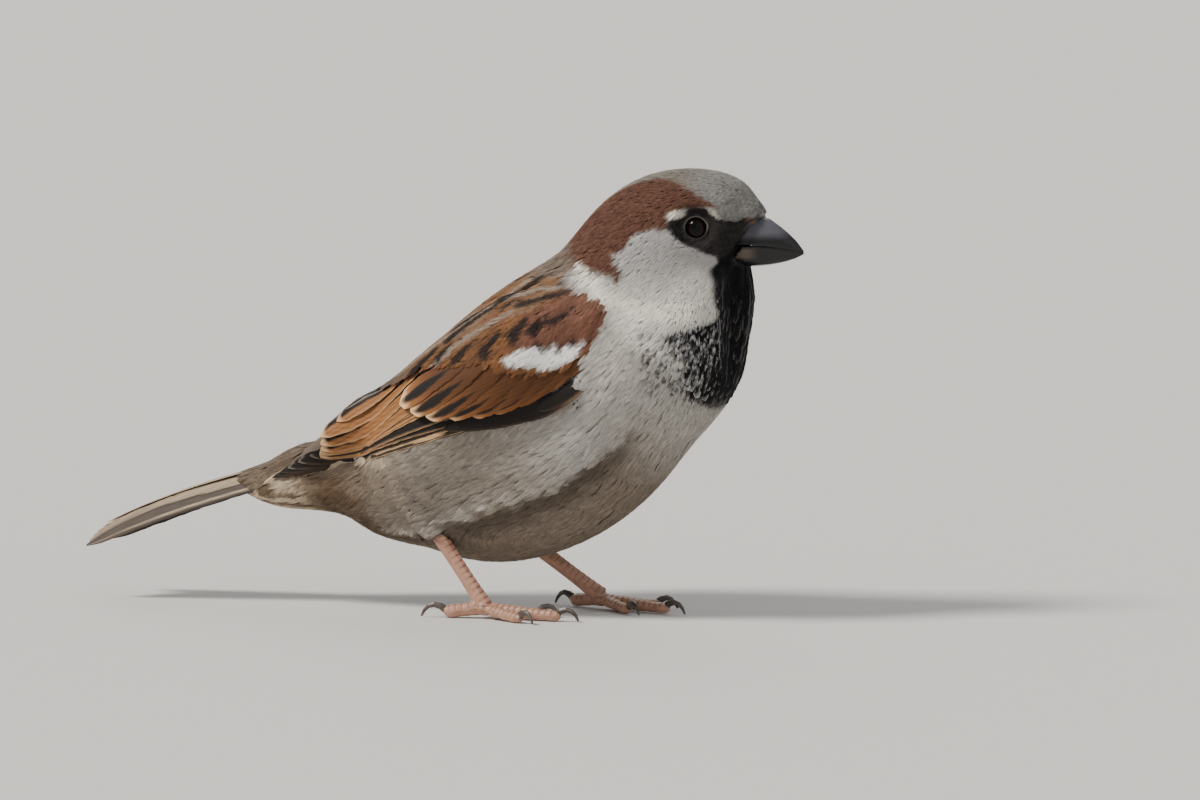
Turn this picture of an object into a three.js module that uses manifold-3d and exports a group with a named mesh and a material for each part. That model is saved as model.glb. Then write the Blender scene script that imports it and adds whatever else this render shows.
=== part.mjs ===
// An adult male house sparrow as a life-size still model. It stands on both feet with its back
// sloping, its wings folded along its sides and its tail let down behind.
// Millimetres: +X is forward, +Y its left, +Z up, and the floor is at Z 0.
import * as THREE from "three";
import { mergeVertices } from "three/addons/utils/BufferGeometryUtils.js";
import Module from "manifold-3d";

const wasm = await Module();
wasm.setup();

const GAP = 0.3; // clear space between neighbouring pieces
const { degToRad, clamp, lerp } = THREE.MathUtils;
const RIGHT_SIDE = -1;
const LEFT_SIDE = 1;
const SIDES = { right: RIGHT_SIDE, left: LEFT_SIDE };

// ---------------------------------------------------------------- colours
const finish = (color, roughness) => new THREE.MeshStandardMaterial({ color, roughness, metalness: 0 });
const GREY_CROWN = finish(0x7d7770, 0.85);
const PALE_NECK = finish(0xb9b3a8, 0.9);
const GREY_UNDERPARTS = finish(0xaaa196, 0.9);
const CHESTNUT_COVERTS = finish(0x8a4526, 0.8);
const BUFF_FLIGHT = finish(0x7c5535, 0.75);
const DARK_FLIGHT = finish(0x3c332c, 0.7);
const TAIL_BROWN = finish(0x6b5a48, 0.8);
const BILL_BLACK = finish(0x24242a, 0.35);
const EYE_BROWN = finish(0x120a07, 0.08);
const LEG_FLESH = finish(0x96664f, 0.5);
const CLAW_HORN = finish(0x4a3b33, 0.4);

// ---------------------------------------------------------------- helpers
// A smooth curve through [place, value] stations, as a function of the place.
function profile(stations) {
  const last = stations.length - 1;
  const slope = (i) => {
    const [s0, v0] = stations[Math.max(i - 1, 0)];
    const [s1, v1] = stations[Math.min(i + 1, last)];
    return (v1 - v0) / (s1 - s0);
  };
  return (place) => {
    let i = 0;
    while (i < last - 1 && place > stations[i + 1][0]) i++;
    const [s0, v0] = stations[i];
    const [s1, v1] = stations[i + 1];
    const span = s1 - s0;
    const t = clamp((place - s0) / span, 0, 1);
    const bend = 3 * t * t - 2 * t * t * t;
    const leave = t * (1 - t) * (1 - t) * span * slope(i);
    const arrive = t * t * (t - 1) * span * slope(i + 1);
    return lerp(v0, v1, bend) + leave + arrive;
  };
}

// A closed shape through rings of equal length, in order, with a point or a flat fan at each end.
// Each ring runs so that its faces point outwards when the rings advance away from the first.
function loft(rings, startPoint, endPoint) {
  const sides = rings[0].length;
  const middle = (ring) => ring.reduce((sum, p) => sum.add(p), new THREE.Vector3()).divideScalar(sides);
  const points = [...rings.flat(), startPoint ?? middle(rings[0]), endPoint ?? middle(rings.at(-1))];
  const startIndex = rings.length * sides;
  const endIndex = startIndex + 1;
  const faces = [];
  for (let k = 0; k < sides; k++) {
    const next = (k + 1) % sides;
    faces.push(startIndex, next, k);
    for (let i = 0; i < rings.length - 1; i++) {
      const row = i * sides;
      faces.push(row + k, row + next, row + sides + k);
      faces.push(row + next, row + sides + next, row + sides + k);
    }
    const lastRow = (rings.length - 1) * sides;
    faces.push(endIndex, lastRow + k, lastRow + next);
  }
  const geometry = new THREE.BufferGeometry().setFromPoints(points);
  geometry.setIndex(faces);
  return geometry;
}

// A closed geometry as a solid that can be joined and cut, turned the right way out.
function solid(geometry) {
  const bare = geometry.clone();
  bare.deleteAttribute("normal");
  bare.deleteAttribute("uv");
  const merged = mergeVertices(bare, 1e-4);
  const triVerts = new Uint32Array(merged.index.array);
  const vertProperties = new Float32Array(merged.attributes.position.array);
  const made = new wasm.Manifold(new wasm.Mesh({ numProp: 3, vertProperties, triVerts }));
  if (made.volume() > 0) return made;
  for (let i = 0; i < triVerts.length; i += 3) {
    [triVerts[i + 1], triVerts[i + 2]] = [triVerts[i + 2], triVerts[i + 1]];
  }
  return new wasm.Manifold(new wasm.Mesh({ numProp: 3, vertProperties, triVerts }));
}

// The largest body of a solid: cuts can leave crumbs.
function largest(body) {
  return body.decompose().reduce((best, part) => (part.volume() > best.volume() ? part : best));
}

function geometryOf(body) {
  const mesh = body.getMesh();
  const geometry = new THREE.BufferGeometry();
  geometry.setAttribute("position", new THREE.BufferAttribute(new Float32Array(mesh.vertProperties), 3));
  geometry.setIndex(new THREE.BufferAttribute(new Uint32Array(mesh.triVerts), 1));
  geometry.computeVertexNormals();
  return geometry;
}

// A tube along points with a half-width and a half-depth at each one.
// Its depth is measured in the upright plane of the path.
function limb(points, halfWidths, halfDepths, sides, swell = 0) {
  const curve = new THREE.CatmullRomCurve3(points);
  const steps = points.length - 1;
  const rings = points.map((_, i) => {
    const place = i / steps;
    const centre = curve.getPoint(place);
    const along = curve.getTangent(place);
    const across = new THREE.Vector3(0, 0, 1).cross(along).normalize();
    const raise = along.clone().cross(across);
    return Array.from({ length: sides }, (_, k) => {
      const turn = (2 * Math.PI * k) / sides;
      return centre
        .clone()
        .addScaledVector(across, Math.cos(turn) * (halfWidths[i] + swell))
        .addScaledVector(raise, Math.sin(turn) * (halfDepths[i] + swell));
    });
  });
  return solid(loft(rings));
}

// ---------------------------------------------------------------- the outline of the plumage
// Masses of the plumage, each an ellipsoid on the plane of symmetry, that melt into each other.
const MASSES = {
  skull: { x: 43.5, z: 69.5, long: 14, deep: 10.5, wide: 11, pitch: 16.5 },
  face: { x: 53.5, z: 73, long: 7.5, deep: 6, wide: 7, pitch: -11.5 },
  throat: { x: 50, z: 57.5, long: 9.3, deep: 7.5, wide: 9.5, pitch: 12 },
  neck: { x: 37.5, z: 60.5, long: 11.5, deep: 13, wide: 14, pitch: 44.5 },
  breast: { x: 40, z: 44.7, long: 20, deep: 14.5, wide: 17.5, pitch: 42 },
  trunk: { x: 12.5, z: 39, long: 35.5, deep: 15, wide: 18.5, pitch: 44.5 },
  belly: { x: 21, z: 26, long: 26.5, deep: 14.5, wide: 15.5, pitch: 25.5 },
  rump: { x: -15, z: 32.3, long: 18.5, deep: 4.4, wide: 9, pitch: 35 },
  vent: { x: -16.5, z: 20.5, long: 23.5, deep: 3.5, wide: 8, pitch: -0.5 },
};
const MELT = 2; // how widely the masses round into each other

// About how far a point is outside the plumage; negative inside.
function outside(point) {
  let sum = 0;
  for (const { x, z, long, deep, wide, pitch } of Object.values(MASSES)) {
    const cos = Math.cos(degToRad(pitch));
    const sin = Math.sin(degToRad(pitch));
    const along = ((point.x - x) * cos + (point.z - z) * sin) / long;
    const up = ((point.z - z) * cos - (point.x - x) * sin) / deep;
    const side = point.y / wide;
    const reach = Math.hypot(along, up, side);
    const steepness = Math.hypot(along / long, up / deep, side / wide);
    sum += Math.exp(-(reach * (reach - 1)) / (steepness + 1e-9) / MELT);
  }
  return -MELT * Math.log(sum);
}

// The bird is measured in sections square to a line that leans up from tail to bill.
const BODY_LEAN = degToRad(29);
const FORWARD = new THREE.Vector3(Math.cos(BODY_LEAN), 0, Math.sin(BODY_LEAN));
const UPWARD = new THREE.Vector3(-Math.sin(BODY_LEAN), 0, Math.cos(BODY_LEAN));
const LEFTWARD = new THREE.Vector3(0, 1, 0);
// How high the middle of each section is. It follows the lower edge of the folded wing.
const keel = profile([
  [-24, 36.5],
  [-14, 34.4],
  [2, 29.8],
  [23, 24.3],
  [40, 21],
  [52, 21.8],
  [62, 28],
  [74, 34],
  [88, 37],
]);
const sectionMiddle = (place) =>
  FORWARD.clone().multiplyScalar(place).addScaledVector(UPWARD, keel(place));

// How far it is from an inner point, one way, to the plumage's surface.
function reachFrom(start, direction) {
  const FARTHEST = 45;
  const HALVINGS = 30;
  let inner = 0;
  let outer = FARTHEST;
  for (let i = 0; i < HALVINGS; i++) {
    const middle = (inner + outer) / 2;
    if (outside(start.clone().addScaledVector(direction, middle)) < 0) inner = middle;
    else outer = middle;
  }
  return inner;
}

// A point over the surface: turn 0 is the back, a quarter the left side, half the belly.
function overSurface(place, turn, height = 0) {
  const start = sectionMiddle(place);
  const direction = UPWARD.clone()
    .multiplyScalar(Math.cos(turn))
    .addScaledVector(LEFTWARD, Math.sin(turn));
  return start.addScaledVector(direction, reachFrom(start, direction) + height);
}

const BODY_RINGS = 34;
const BODY_SIDES = 24;
const REARMOST_RING = -23.6;
const FOREMOST_RING = 88;
const CAP_FROM = 3; // how far behind the end rings the pole is looked for

function wholeBody(swell) {
  const middlePlace = (REARMOST_RING + FOREMOST_RING) / 2;
  const halfSpan = (FOREMOST_RING - REARMOST_RING) / 2;
  const ringPlaces = Array.from({ length: BODY_RINGS }, (_, i) => {
    const even = (2 * i) / (BODY_RINGS - 1) - 1;
    // closer together at both ends, where the surface turns in
    return middlePlace + halfSpan * lerp(even, Math.sin((even * Math.PI) / 2), 0.6);
  });
  const rings = ringPlaces.map((place) =>
    Array.from({ length: BODY_SIDES }, (_, k) =>
      overSurface(place, (2 * Math.PI * k) / BODY_SIDES, swell),
    ),
  );
  const pole = (place, direction) => {
    const start = sectionMiddle(place);
    return start.addScaledVector(direction, reachFrom(start, direction) + swell);
  };
  const rear = pole(REARMOST_RING + CAP_FROM, FORWARD.clone().negate());
  const front = pole(FOREMOST_RING - CAP_FROM, FORWARD);
  return solid(loft(rings, rear, front));
}

// ---------------------------------------------------------------- head, neck and trunk
// Thin cuts part the body: each plane holds a point and leans that much up from the floor.
const HEAD_CUT = { x: 43, z: 63.5, lean: degToRad(64) };
const NECK_CUT = { x: 37.5, z: 51, lean: degToRad(59) };
const BLOCK = 160; // edge of the blocks that halve the body

// A block whose face lies on a cut, on the head's side (+1) or on the tail's side (-1).
function blockBeyond({ x, z, lean }, side) {
  const geometry = new THREE.BoxGeometry(BLOCK, BLOCK, BLOCK);
  geometry.translate((side * (BLOCK + GAP)) / 2, 0, 0);
  geometry.rotateY(-lean);
  geometry.translate(x, 0, z);
  return solid(geometry);
}

const body = wholeBody(0);
const bodyWithGap = wholeBody(GAP);

// ---------------------------------------------------------------- eyes
const EYE = { x: 51.7, z: 71.5, radius: 2.4, proud: 1.1 };

// How far the head's side is from the plane of symmetry at the eye.
const eyeSide = reachFrom(new THREE.Vector3(EYE.x, 0, EYE.z), LEFTWARD);

function eyeball(side, swell = 0) {
  const ROUND = 14;
  const RINGS = 9;
  const geometry = new THREE.SphereGeometry(EYE.radius + swell, ROUND, RINGS);
  geometry.translate(EYE.x, side * (eyeSide - EYE.radius + EYE.proud), EYE.z);
  return solid(geometry);
}

// ---------------------------------------------------------------- bill
const BILL = {
  rootX: 54,
  tipX: 69.1,
  tipZ: 66.2,
  topRise: 8.9,
  keelDrop: 2.7,
  gapeRise: 1.35,
  halfWidth: 3.9,
};
const BILL_SHAPED_FROM = 56; // the outline's curves begin here, inside the face
const BILL_STEPS = 11;
const BILL_ARC_STEPS = 8;

// How far along the bill a place is, from 0 in the face to 1 at the tip.
const alongBill = (x) => clamp((x - BILL_SHAPED_FROM) / (BILL.tipX - BILL_SHAPED_FROM), 0, 1);
const ridgeZ = (s) => BILL.tipZ + BILL.topRise * (1 - s ** 1.25) ** 0.75;
const keelZ = (s) => BILL.tipZ - BILL.keelDrop * (1 - s ** 2.2) ** 0.8;
const gapeZ = (s) => BILL.tipZ + BILL.gapeRise * (1 - s ** 3);
const billHalfWidth = (s) => BILL.halfWidth * (1 - s ** 1.1) ** 0.85;

// Half of the bill: an arch over the gape (+1) or a keel under it (-1), closed along the gape.
function billHalf(upDown, widthShare) {
  const TIP_SHARE = 0.985;
  const LEAST = 0.12;
  const rings = Array.from({ length: BILL_STEPS }, (_, i) => {
    const x = lerp(BILL.rootX, lerp(BILL.rootX, BILL.tipX, TIP_SHARE), i / (BILL_STEPS - 1));
    const s = alongBill(x);
    const base = gapeZ(s) + (upDown * GAP) / 2;
    const height = Math.max(LEAST, upDown * ((upDown > 0 ? ridgeZ(s) : keelZ(s)) - base));
    const half = Math.max(LEAST, billHalfWidth(s) * widthShare);
    return Array.from({ length: BILL_ARC_STEPS + 1 }, (_, k) => {
      const turn = (Math.PI * k) / BILL_ARC_STEPS;
      const side = Math.sign(Math.cos(turn)) * Math.abs(Math.cos(turn)) ** 0.85;
      return new THREE.Vector3(x, half * side, base + upDown * height * Math.sin(turn) ** 0.95);
    });
  });
  const tip = new THREE.Vector3(BILL.tipX, 0, BILL.tipZ + upDown * GAP * 0.5);
  return solid(loft(rings, undefined, tip));
}

// ---------------------------------------------------------------- wings
// Each part of a folded wing is a curved plate over the body. Edges are turns from the back.
const wingTop = profile([
  [-14.5, degToRad(52)],
  [-6, degToRad(42)],
  [6, degToRad(30)],
  [20, degToRad(24)],
  [58, degToRad(26)],
]);
const wingBottom = profile([
  [-14.5, degToRad(84)],
  [0, degToRad(90)],
  [60, degToRad(91)],
]);
const WING_FRONT = { top: 56, shoulder: 62, bottom: 51.5 };
// where coverts end and flight feathers begin, at the upper and the lower edge
const COVERT_EDGE = { top: 15.5, bottom: 23 };
const SECONDARY_TIP = -4.5; // the long inner flight feathers end here
const PRIMARY_TIP = -14; // the longest outer ones reach past them
const PRIMARY_SHARE = 0.62; // of the way down, where the outer flight feathers lie
const WING_CLEAR = 0.5; // from the body to the plate
const WING_RIM = 0.55; // the plate's thickness at its edges

// The front edge curves forward over the shoulder.
function wingFront(down) {
  const { top, shoulder, bottom } = WING_FRONT;
  return lerp(top, bottom, down) + (shoulder - (top + bottom) / 2) * Math.sin(Math.PI * down);
}

// A plate between two places along the body and two shares of the way down the wing.
// Its upper edge comes down towards the rear by its `point`, a share of its height.
function wingPlate(side, { from, to, high, low, thick, steps, strips, rear, point }) {
  const sheet = (isOuter) =>
    Array.from({ length: steps + 1 }, (_, i) =>
      Array.from({ length: strips + 1 }, (_, j) => {
        const upper = lerp(high, low, point * (i / steps) ** 3);
        const down = lerp(upper, low, j / strips);
        const place = lerp(from(down), to(down), i / steps);
        const turn = lerp(wingTop(place), wingBottom(place), down);
        const across = Math.sin((Math.PI * j) / strips) ** 0.6;
        const lengthwise = Math.sin(Math.PI * Math.min(1, (i / steps) * 0.5 + rear)) ** 0.7;
        const plump = WING_RIM + (thick - WING_RIM) * Math.abs(across * lengthwise);
        return overSurface(place, side * turn, WING_CLEAR + (isOuter ? plump : 0));
      }),
    );
  const outer = sheet(true);
  const inner = sheet(false);
  // each crosswise ring goes over the outer sheet and back under the inner one
  const rings = outer.map((row, i) => [...row, ...[...inner[i]].reverse()]);
  return solid(loft(rings));
}

const covertEdge = (down) => lerp(COVERT_EDGE.top, COVERT_EDGE.bottom, down);
const WING_PARTS = {
  coverts: {
    from: wingFront,
    to: covertEdge,
    high: 0,
    low: 1,
    thick: 2.4,
    steps: 10,
    strips: 7,
    rear: 0.22,
    point: 0,
    material: CHESTNUT_COVERTS,
  },
  secondaries: {
    from: (down) => covertEdge(down) - GAP,
    to: () => SECONDARY_TIP,
    high: 0,
    low: PRIMARY_SHARE,
    thick: 1.4,
    steps: 6,
    strips: 5,
    rear: 0.5,
    point: 0.72,
    material: BUFF_FLIGHT,
  },
  primaries: {
    from: (down) => covertEdge(down) - GAP,
    to: () => PRIMARY_TIP,
    high: PRIMARY_SHARE + 0.03,
    low: 1,
    thick: 1.2,
    steps: 8,
    strips: 3,
    rear: 0.5,
    point: 0.35,
    material: DARK_FLIGHT,
  },
};

// ---------------------------------------------------------------- tail
// The spread of tail feathers: a thin arched fan that bends down to its notched tip.
const TAIL_LINE = new THREE.CatmullRomCurve3([
  new THREE.Vector3(-30, 0, 24.6),
  new THREE.Vector3(-39.5, 0, 22),
  new THREE.Vector3(-49.5, 0, 18.7),
  new THREE.Vector3(-58, 0, 15.5),
  new THREE.Vector3(-65.7, 0, 12.2),
]);
const TAIL = { rootHalf: 4.2, tipHalf: 8, arch: 1.4, notch: 2.2, rootThick: 2, tipThick: 0.9, step: 0.35 };
const TAIL_PARTS = {
  tail_right: { high: -1, low: -0.36, lower: 1 },
  tail_middle: { high: -0.33, low: 0.33, lower: 0 },
  tail_left: { high: 0.36, low: 1, lower: 1 },
};
const TAIL_STEPS = 9;
const TAIL_STRIPS = 3;

function tailPart({ high, low, lower }) {
  const rings = Array.from({ length: TAIL_STEPS + 1 }, (_, i) => {
    const share = i / TAIL_STEPS;
    const row = (under) =>
      Array.from({ length: TAIL_STRIPS + 1 }, (_, j) => {
        const across = lerp(high, low, j / TAIL_STRIPS);
        const shortening = (TAIL.notch * (1 - Math.abs(across))) / TAIL_LINE.getLength();
        const place = share * (1 - shortening);
        const centre = TAIL_LINE.getPointAt(place);
        const along = TAIL_LINE.getTangentAt(place);
        const raise = LEFTWARD.clone().cross(along).normalize();
        const half = lerp(TAIL.rootHalf, TAIL.tipHalf, place ** 0.8);
        const thick = lerp(TAIL.rootThick, TAIL.tipThick, place ** 0.7);
        const drop = TAIL.arch * across * across * (0.4 + 0.6 * place) + lower * TAIL.step;
        centre.y = across * half;
        return centre.addScaledVector(raise, -drop - (under ? thick : 0));
      });
    return [...row(false), ...row(true).reverse()];
  });
  return solid(loft(rings));
}

// ---------------------------------------------------------------- legs
const TARSUS = { topHalf: 1.35, waistHalf: 1.1, footHalf: 1.35, depthShare: 1.2, sides: 8 };
const THIGH = { topHalf: 6, kneeHalf: 1.9, sides: 12 };
const LEGS = {
  right: {
    hip: new THREE.Vector3(-2.5, -9, 24),
    ankle: new THREE.Vector3(2.5, -10, 15.6),
    foot: new THREE.Vector3(12.4, -11, 2.2),
    heading: -5,
  },
  left: {
    hip: new THREE.Vector3(6, 9, 20),
    ankle: new THREE.Vector3(13, 9.4, 12),
    foot: new THREE.Vector3(27, 10, 2.2),
    heading: -20,
  },
};
// Toes fan out from the foot, each at an angle outwards from the foot's own heading.
const TOES = {
  hind: { angle: 176, length: 7.2, halfWidth: 1.2, claw: 5, pads: 2 },
  inner: { angle: -20, length: 10, halfWidth: 0.95, claw: 4.4, pads: 3 },
  middle: { angle: 6, length: 14.5, halfWidth: 1.05, claw: 4.8, pads: 4 },
  outer: { angle: 36, length: 10.5, halfWidth: 0.95, claw: 4.2, pads: 4 },
};
const TOE = { steps: 9, sides: 8, padSwell: 0.16, sink: 0.25, rise: 0.75 };
const CLAW = { steps: 5, sides: 6, rootHalf: 0.62, tipHalf: 0.14, arch: 1.5 };
const FLOOR_BLOCK = 60;

const smooth = (t) => t * t * (3 - 2 * t);

function tarsus({ ankle, foot }, swell = 0) {
  const STEPS = 6;
  const points = [];
  const halves = [];
  for (let i = 0; i <= STEPS; i++) {
    const t = i / STEPS;
    points.push(ankle.clone().lerp(foot, t));
    const flare = Math.abs(2 * t - 1) ** 2.5;
    const endHalf = t < 0.5 ? TARSUS.topHalf : TARSUS.footHalf;
    halves.push(lerp(TARSUS.waistHalf, endHalf, flare));
  }
  const depths = halves.map((h) => h * TARSUS.depthShare);
  const shaft = limb(points, halves, depths, TARSUS.sides, swell);
  const knuckle = new THREE.SphereGeometry(TARSUS.footHalf * 1.15 + swell, 10, 6);
  knuckle.scale(1, 1.15, 0.85);
  knuckle.translate(foot.x, foot.y, foot.z - 0.5);
  return shaft.add(solid(knuckle));
}

// The way that a toe points on the floor.
function toeDirection(side, { heading }, { angle }) {
  const turn = degToRad(heading + angle);
  return new THREE.Vector3(Math.cos(turn), side * Math.sin(turn), 0);
}

function toePoint(foot, direction, { length, halfWidth }, t) {
  const height = halfWidth - TOE.sink + TOE.rise * (1 - smooth(t));
  return new THREE.Vector3(foot.x, foot.y, height).addScaledVector(direction, length * t);
}

function toe(side, leg, shape, swell = 0) {
  const direction = toeDirection(side, leg, shape);
  const points = [];
  const halves = [];
  for (let i = 0; i <= TOE.steps; i++) {
    const t = i / TOE.steps;
    points.push(toePoint(leg.foot, direction, shape, t));
    const pad = TOE.padSwell * Math.cos(2 * Math.PI * shape.pads * t);
    const taper = t > 0.93 ? 0.72 : 1;
    halves.push((shape.halfWidth * lerp(1.05, 0.9, t) - pad * 0.5) * taper);
  }
  return limb(points, halves, halves, TOE.sides, swell);
}

// A claw arches from the toe's end down to the floor.
function claw(side, leg, shape, swell = 0) {
  const direction = toeDirection(side, leg, shape);
  const root = toePoint(leg.foot, direction, shape, 0.93);
  const points = [];
  const halves = [];
  for (let i = 0; i <= CLAW.steps; i++) {
    const t = i / CLAW.steps;
    const point = root.clone().addScaledVector(direction, shape.claw * Math.sin(t * 1.25));
    const arch = CLAW.arch * Math.sin(Math.PI * t) * (1 - 0.35 * t);
    point.z = lerp(root.z + 0.15, CLAW.tipHalf * 0.4, t * t) + arch;
    points.push(point);
    halves.push(lerp(CLAW.rootHalf, CLAW.tipHalf, t ** 0.9));
  }
  const depths = halves.map((h) => h * 1.25);
  return limb(points, halves, depths, CLAW.sides, swell);
}

function thigh({ hip, ankle }, swell = 0) {
  const STEPS = 6;
  const knee = ankle.clone().lerp(hip, -0.18);
  const points = [];
  const halves = [];
  for (let i = 0; i <= STEPS; i++) {
    const t = i / STEPS;
    points.push(hip.clone().lerp(knee, t));
    halves.push(lerp(THIGH.topHalf, THIGH.kneeHalf, t ** 1.2));
  }
  return limb(points, halves, halves, THIGH.sides, swell);
}

// ---------------------------------------------------------------- the bird
const bird = new THREE.Group();

function place(name, made, material) {
  const mesh = new THREE.Mesh(geometryOf(largest(made)), material);
  mesh.name = name;
  bird.add(mesh);
}

const headBlock = blockBeyond(HEAD_CUT, 1);
const neckBlock = blockBeyond(HEAD_CUT, -1).intersect(blockBeyond(NECK_CUT, 1));
const trunkBlock = blockBeyond(NECK_CUT, -1);
let head = body.intersect(headBlock);
for (const side of Object.values(SIDES)) head = head.subtract(eyeball(side, GAP));
place("head", head, GREY_CROWN);
place("neck", body.intersect(neckBlock), PALE_NECK);

place("trunk", body.intersect(trunkBlock), GREY_UNDERPARTS);
for (const [name, part] of Object.entries(TAIL_PARTS)) {
  place(name, tailPart(part).subtract(bodyWithGap), TAIL_BROWN);
}

place("bill_upper", billHalf(1, 1).subtract(bodyWithGap), BILL_BLACK);
place("bill_lower", billHalf(-1, 0.92).subtract(bodyWithGap), BILL_BLACK);

const floorGeometry = new THREE.BoxGeometry(FLOOR_BLOCK * 3, FLOOR_BLOCK, FLOOR_BLOCK);
floorGeometry.translate(0, 0, -FLOOR_BLOCK / 2);
const floor = solid(floorGeometry);

for (const [sideName, side] of Object.entries(SIDES)) {
  const leg = LEGS[sideName];
  place(`eye_${sideName}`, eyeball(side), EYE_BROWN);
  for (const [partName, part] of Object.entries(WING_PARTS)) {
    place(`wing_${sideName}_${partName}`, wingPlate(side, part).subtract(bodyWithGap), part.material);
  }
  place(`thigh_${sideName}`, thigh(leg).subtract(bodyWithGap), GREY_UNDERPARTS);
  const shank = tarsus(leg).subtract(bodyWithGap).subtract(thigh(leg, GAP)).subtract(floor);
  place(`tarsus_${sideName}`, shank, LEG_FLESH);
  let taken = tarsus(leg, GAP);
  for (const toeName of ["middle", "inner", "outer", "hind"]) {
    const shape = TOES[toeName];
    const made = toe(side, leg, shape).subtract(taken).subtract(floor);
    place(`toe_${sideName}_${toeName}`, made, LEG_FLESH);
    const nail = claw(side, leg, shape).subtract(toe(side, leg, shape, GAP)).subtract(floor);
    place(`claw_${sideName}_${toeName}`, nail, CLAW_HORN);
    taken = taken.add(toe(side, leg, shape, GAP));
  }
}

// The origin stands under the middle of the bird's box.
const box = new THREE.Box3().setFromObject(bird);
bird.position.x = -(box.min.x + box.max.x) / 2;
bird.userData.forwardShift = bird.position.x;

export default bird;
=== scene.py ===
# An adult male house sparrow, dressed: skin, coat, wings, tail, bill, eyes and legs.
# Shapes are worked out in the part's own millimetres (+X forward, +Y the bird's left, +Z up)
# and moved to the frame's metres when a mesh is made.
import math

import bmesh
import bpy
import numpy as np
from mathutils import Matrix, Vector
from mathutils.bvhtree import BVHTree
from mathutils.kdtree import KDTree


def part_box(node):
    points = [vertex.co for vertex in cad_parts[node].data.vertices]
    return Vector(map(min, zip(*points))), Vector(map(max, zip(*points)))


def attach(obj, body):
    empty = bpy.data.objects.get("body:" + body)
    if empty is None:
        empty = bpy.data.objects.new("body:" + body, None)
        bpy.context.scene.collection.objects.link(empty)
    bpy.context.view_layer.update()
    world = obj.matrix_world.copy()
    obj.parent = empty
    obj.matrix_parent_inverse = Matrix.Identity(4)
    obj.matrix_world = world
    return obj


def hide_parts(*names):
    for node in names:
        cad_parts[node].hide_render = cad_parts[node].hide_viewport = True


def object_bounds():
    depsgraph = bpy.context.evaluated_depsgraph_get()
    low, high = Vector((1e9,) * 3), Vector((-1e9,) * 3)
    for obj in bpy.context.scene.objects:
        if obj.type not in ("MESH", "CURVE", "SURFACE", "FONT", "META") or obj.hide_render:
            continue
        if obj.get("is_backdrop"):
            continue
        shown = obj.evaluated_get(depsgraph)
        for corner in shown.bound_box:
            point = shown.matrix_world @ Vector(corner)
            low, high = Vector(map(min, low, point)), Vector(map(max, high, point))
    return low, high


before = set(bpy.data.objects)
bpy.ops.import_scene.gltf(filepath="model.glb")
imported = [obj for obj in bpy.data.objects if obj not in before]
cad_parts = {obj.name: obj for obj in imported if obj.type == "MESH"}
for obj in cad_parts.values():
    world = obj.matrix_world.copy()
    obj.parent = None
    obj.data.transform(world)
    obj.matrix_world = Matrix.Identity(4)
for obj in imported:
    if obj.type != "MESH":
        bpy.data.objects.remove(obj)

cad_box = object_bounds()

MM = 0.001
BILL_TIP_X = 69.1  # where the part has the bill's tip before it is centred
SHIFT = np.array([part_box("bill_lower")[1][0] / MM - BILL_TIP_X, 0.0, 0.0])
SIDES = {"right": -1, "left": 1}
TOE_NAMES = ("middle", "inner", "outer", "hind")
PAINT_LAYER = "Plumage"  # the colours that every painted material reads
rng = np.random.default_rng(23)

# The bird is measured in sections square to a line that leans up from tail to bill.
BODY_LEAN = math.radians(29)
FORWARD = np.array([math.cos(BODY_LEAN), 0, math.sin(BODY_LEAN)])
UPWARD = np.array([-math.sin(BODY_LEAN), 0, math.cos(BODY_LEAN)])
LEFTWARD = np.array([0.0, 1.0, 0.0])


# ---------------------------------------------------------------- small tools
def to_frame(points):
    """The frame's metres from the part's millimetres."""
    return (np.asarray(points) + SHIFT) * MM


def to_part(points):
    """The part's millimetres from the frame's metres."""
    return np.asarray(points) / MM - SHIFT


def colour(red, green, blue):
    """A colour from 0 to 255 in each channel, as the linear values that the shaders use."""
    shares = np.array([red, green, blue]) / 255
    return np.where(shares <= 0.04045, shares / 12.92, ((shares + 0.055) / 1.055) ** 2.4)


def lerp(a, b, share):
    return a + (b - a) * share


def smoothstep(low, high, value):
    """0 at low and 1 at high, smoothly; low may be the larger, for a share that falls."""
    share = np.clip((value - low) / (high - low), 0, 1)
    return share * share * (3 - 2 * share)


def band(value, low, full, full_to, high):
    """0 up to low, 1 from full to full_to, and 0 again from high on."""
    return smoothstep(low, full, value) * smoothstep(high, full_to, value)


def unit(vectors):
    return vectors / np.maximum(np.linalg.norm(vectors, axis=-1, keepdims=True), 1e-9)


def profile(*stations):
    """A smooth curve through (place, value) stations, as a function of the place."""
    places, values = np.array(stations, float).T
    slopes = np.gradient(values, places)

    def at(place):
        place = np.clip(place, places[0], places[-1])
        i = np.clip(np.searchsorted(places, place) - 1, 0, len(places) - 2)
        span = places[i + 1] - places[i]
        t = (place - places[i]) / span
        bend = t * t * (3 - 2 * t)
        leave = t * (1 - t) ** 2 * span * slopes[i]
        arrive = t * t * (t - 1) * span * slopes[i + 1]
        return lerp(values[i], values[i + 1], bend) + leave + arrive

    return at


def ripple(points, size, seed):
    """Smooth noise from -1 to 1, with waves about `size` mm long."""
    waves = np.random.default_rng(seed)
    total = 0
    for _ in range(6):
        way = unit(waves.normal(size=3)) * waves.uniform(0.7, 1.6) * 2 * np.pi / size
        total = total + np.sin(points @ way + waves.uniform(0, 6.28))
    return total / 3.2


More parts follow.
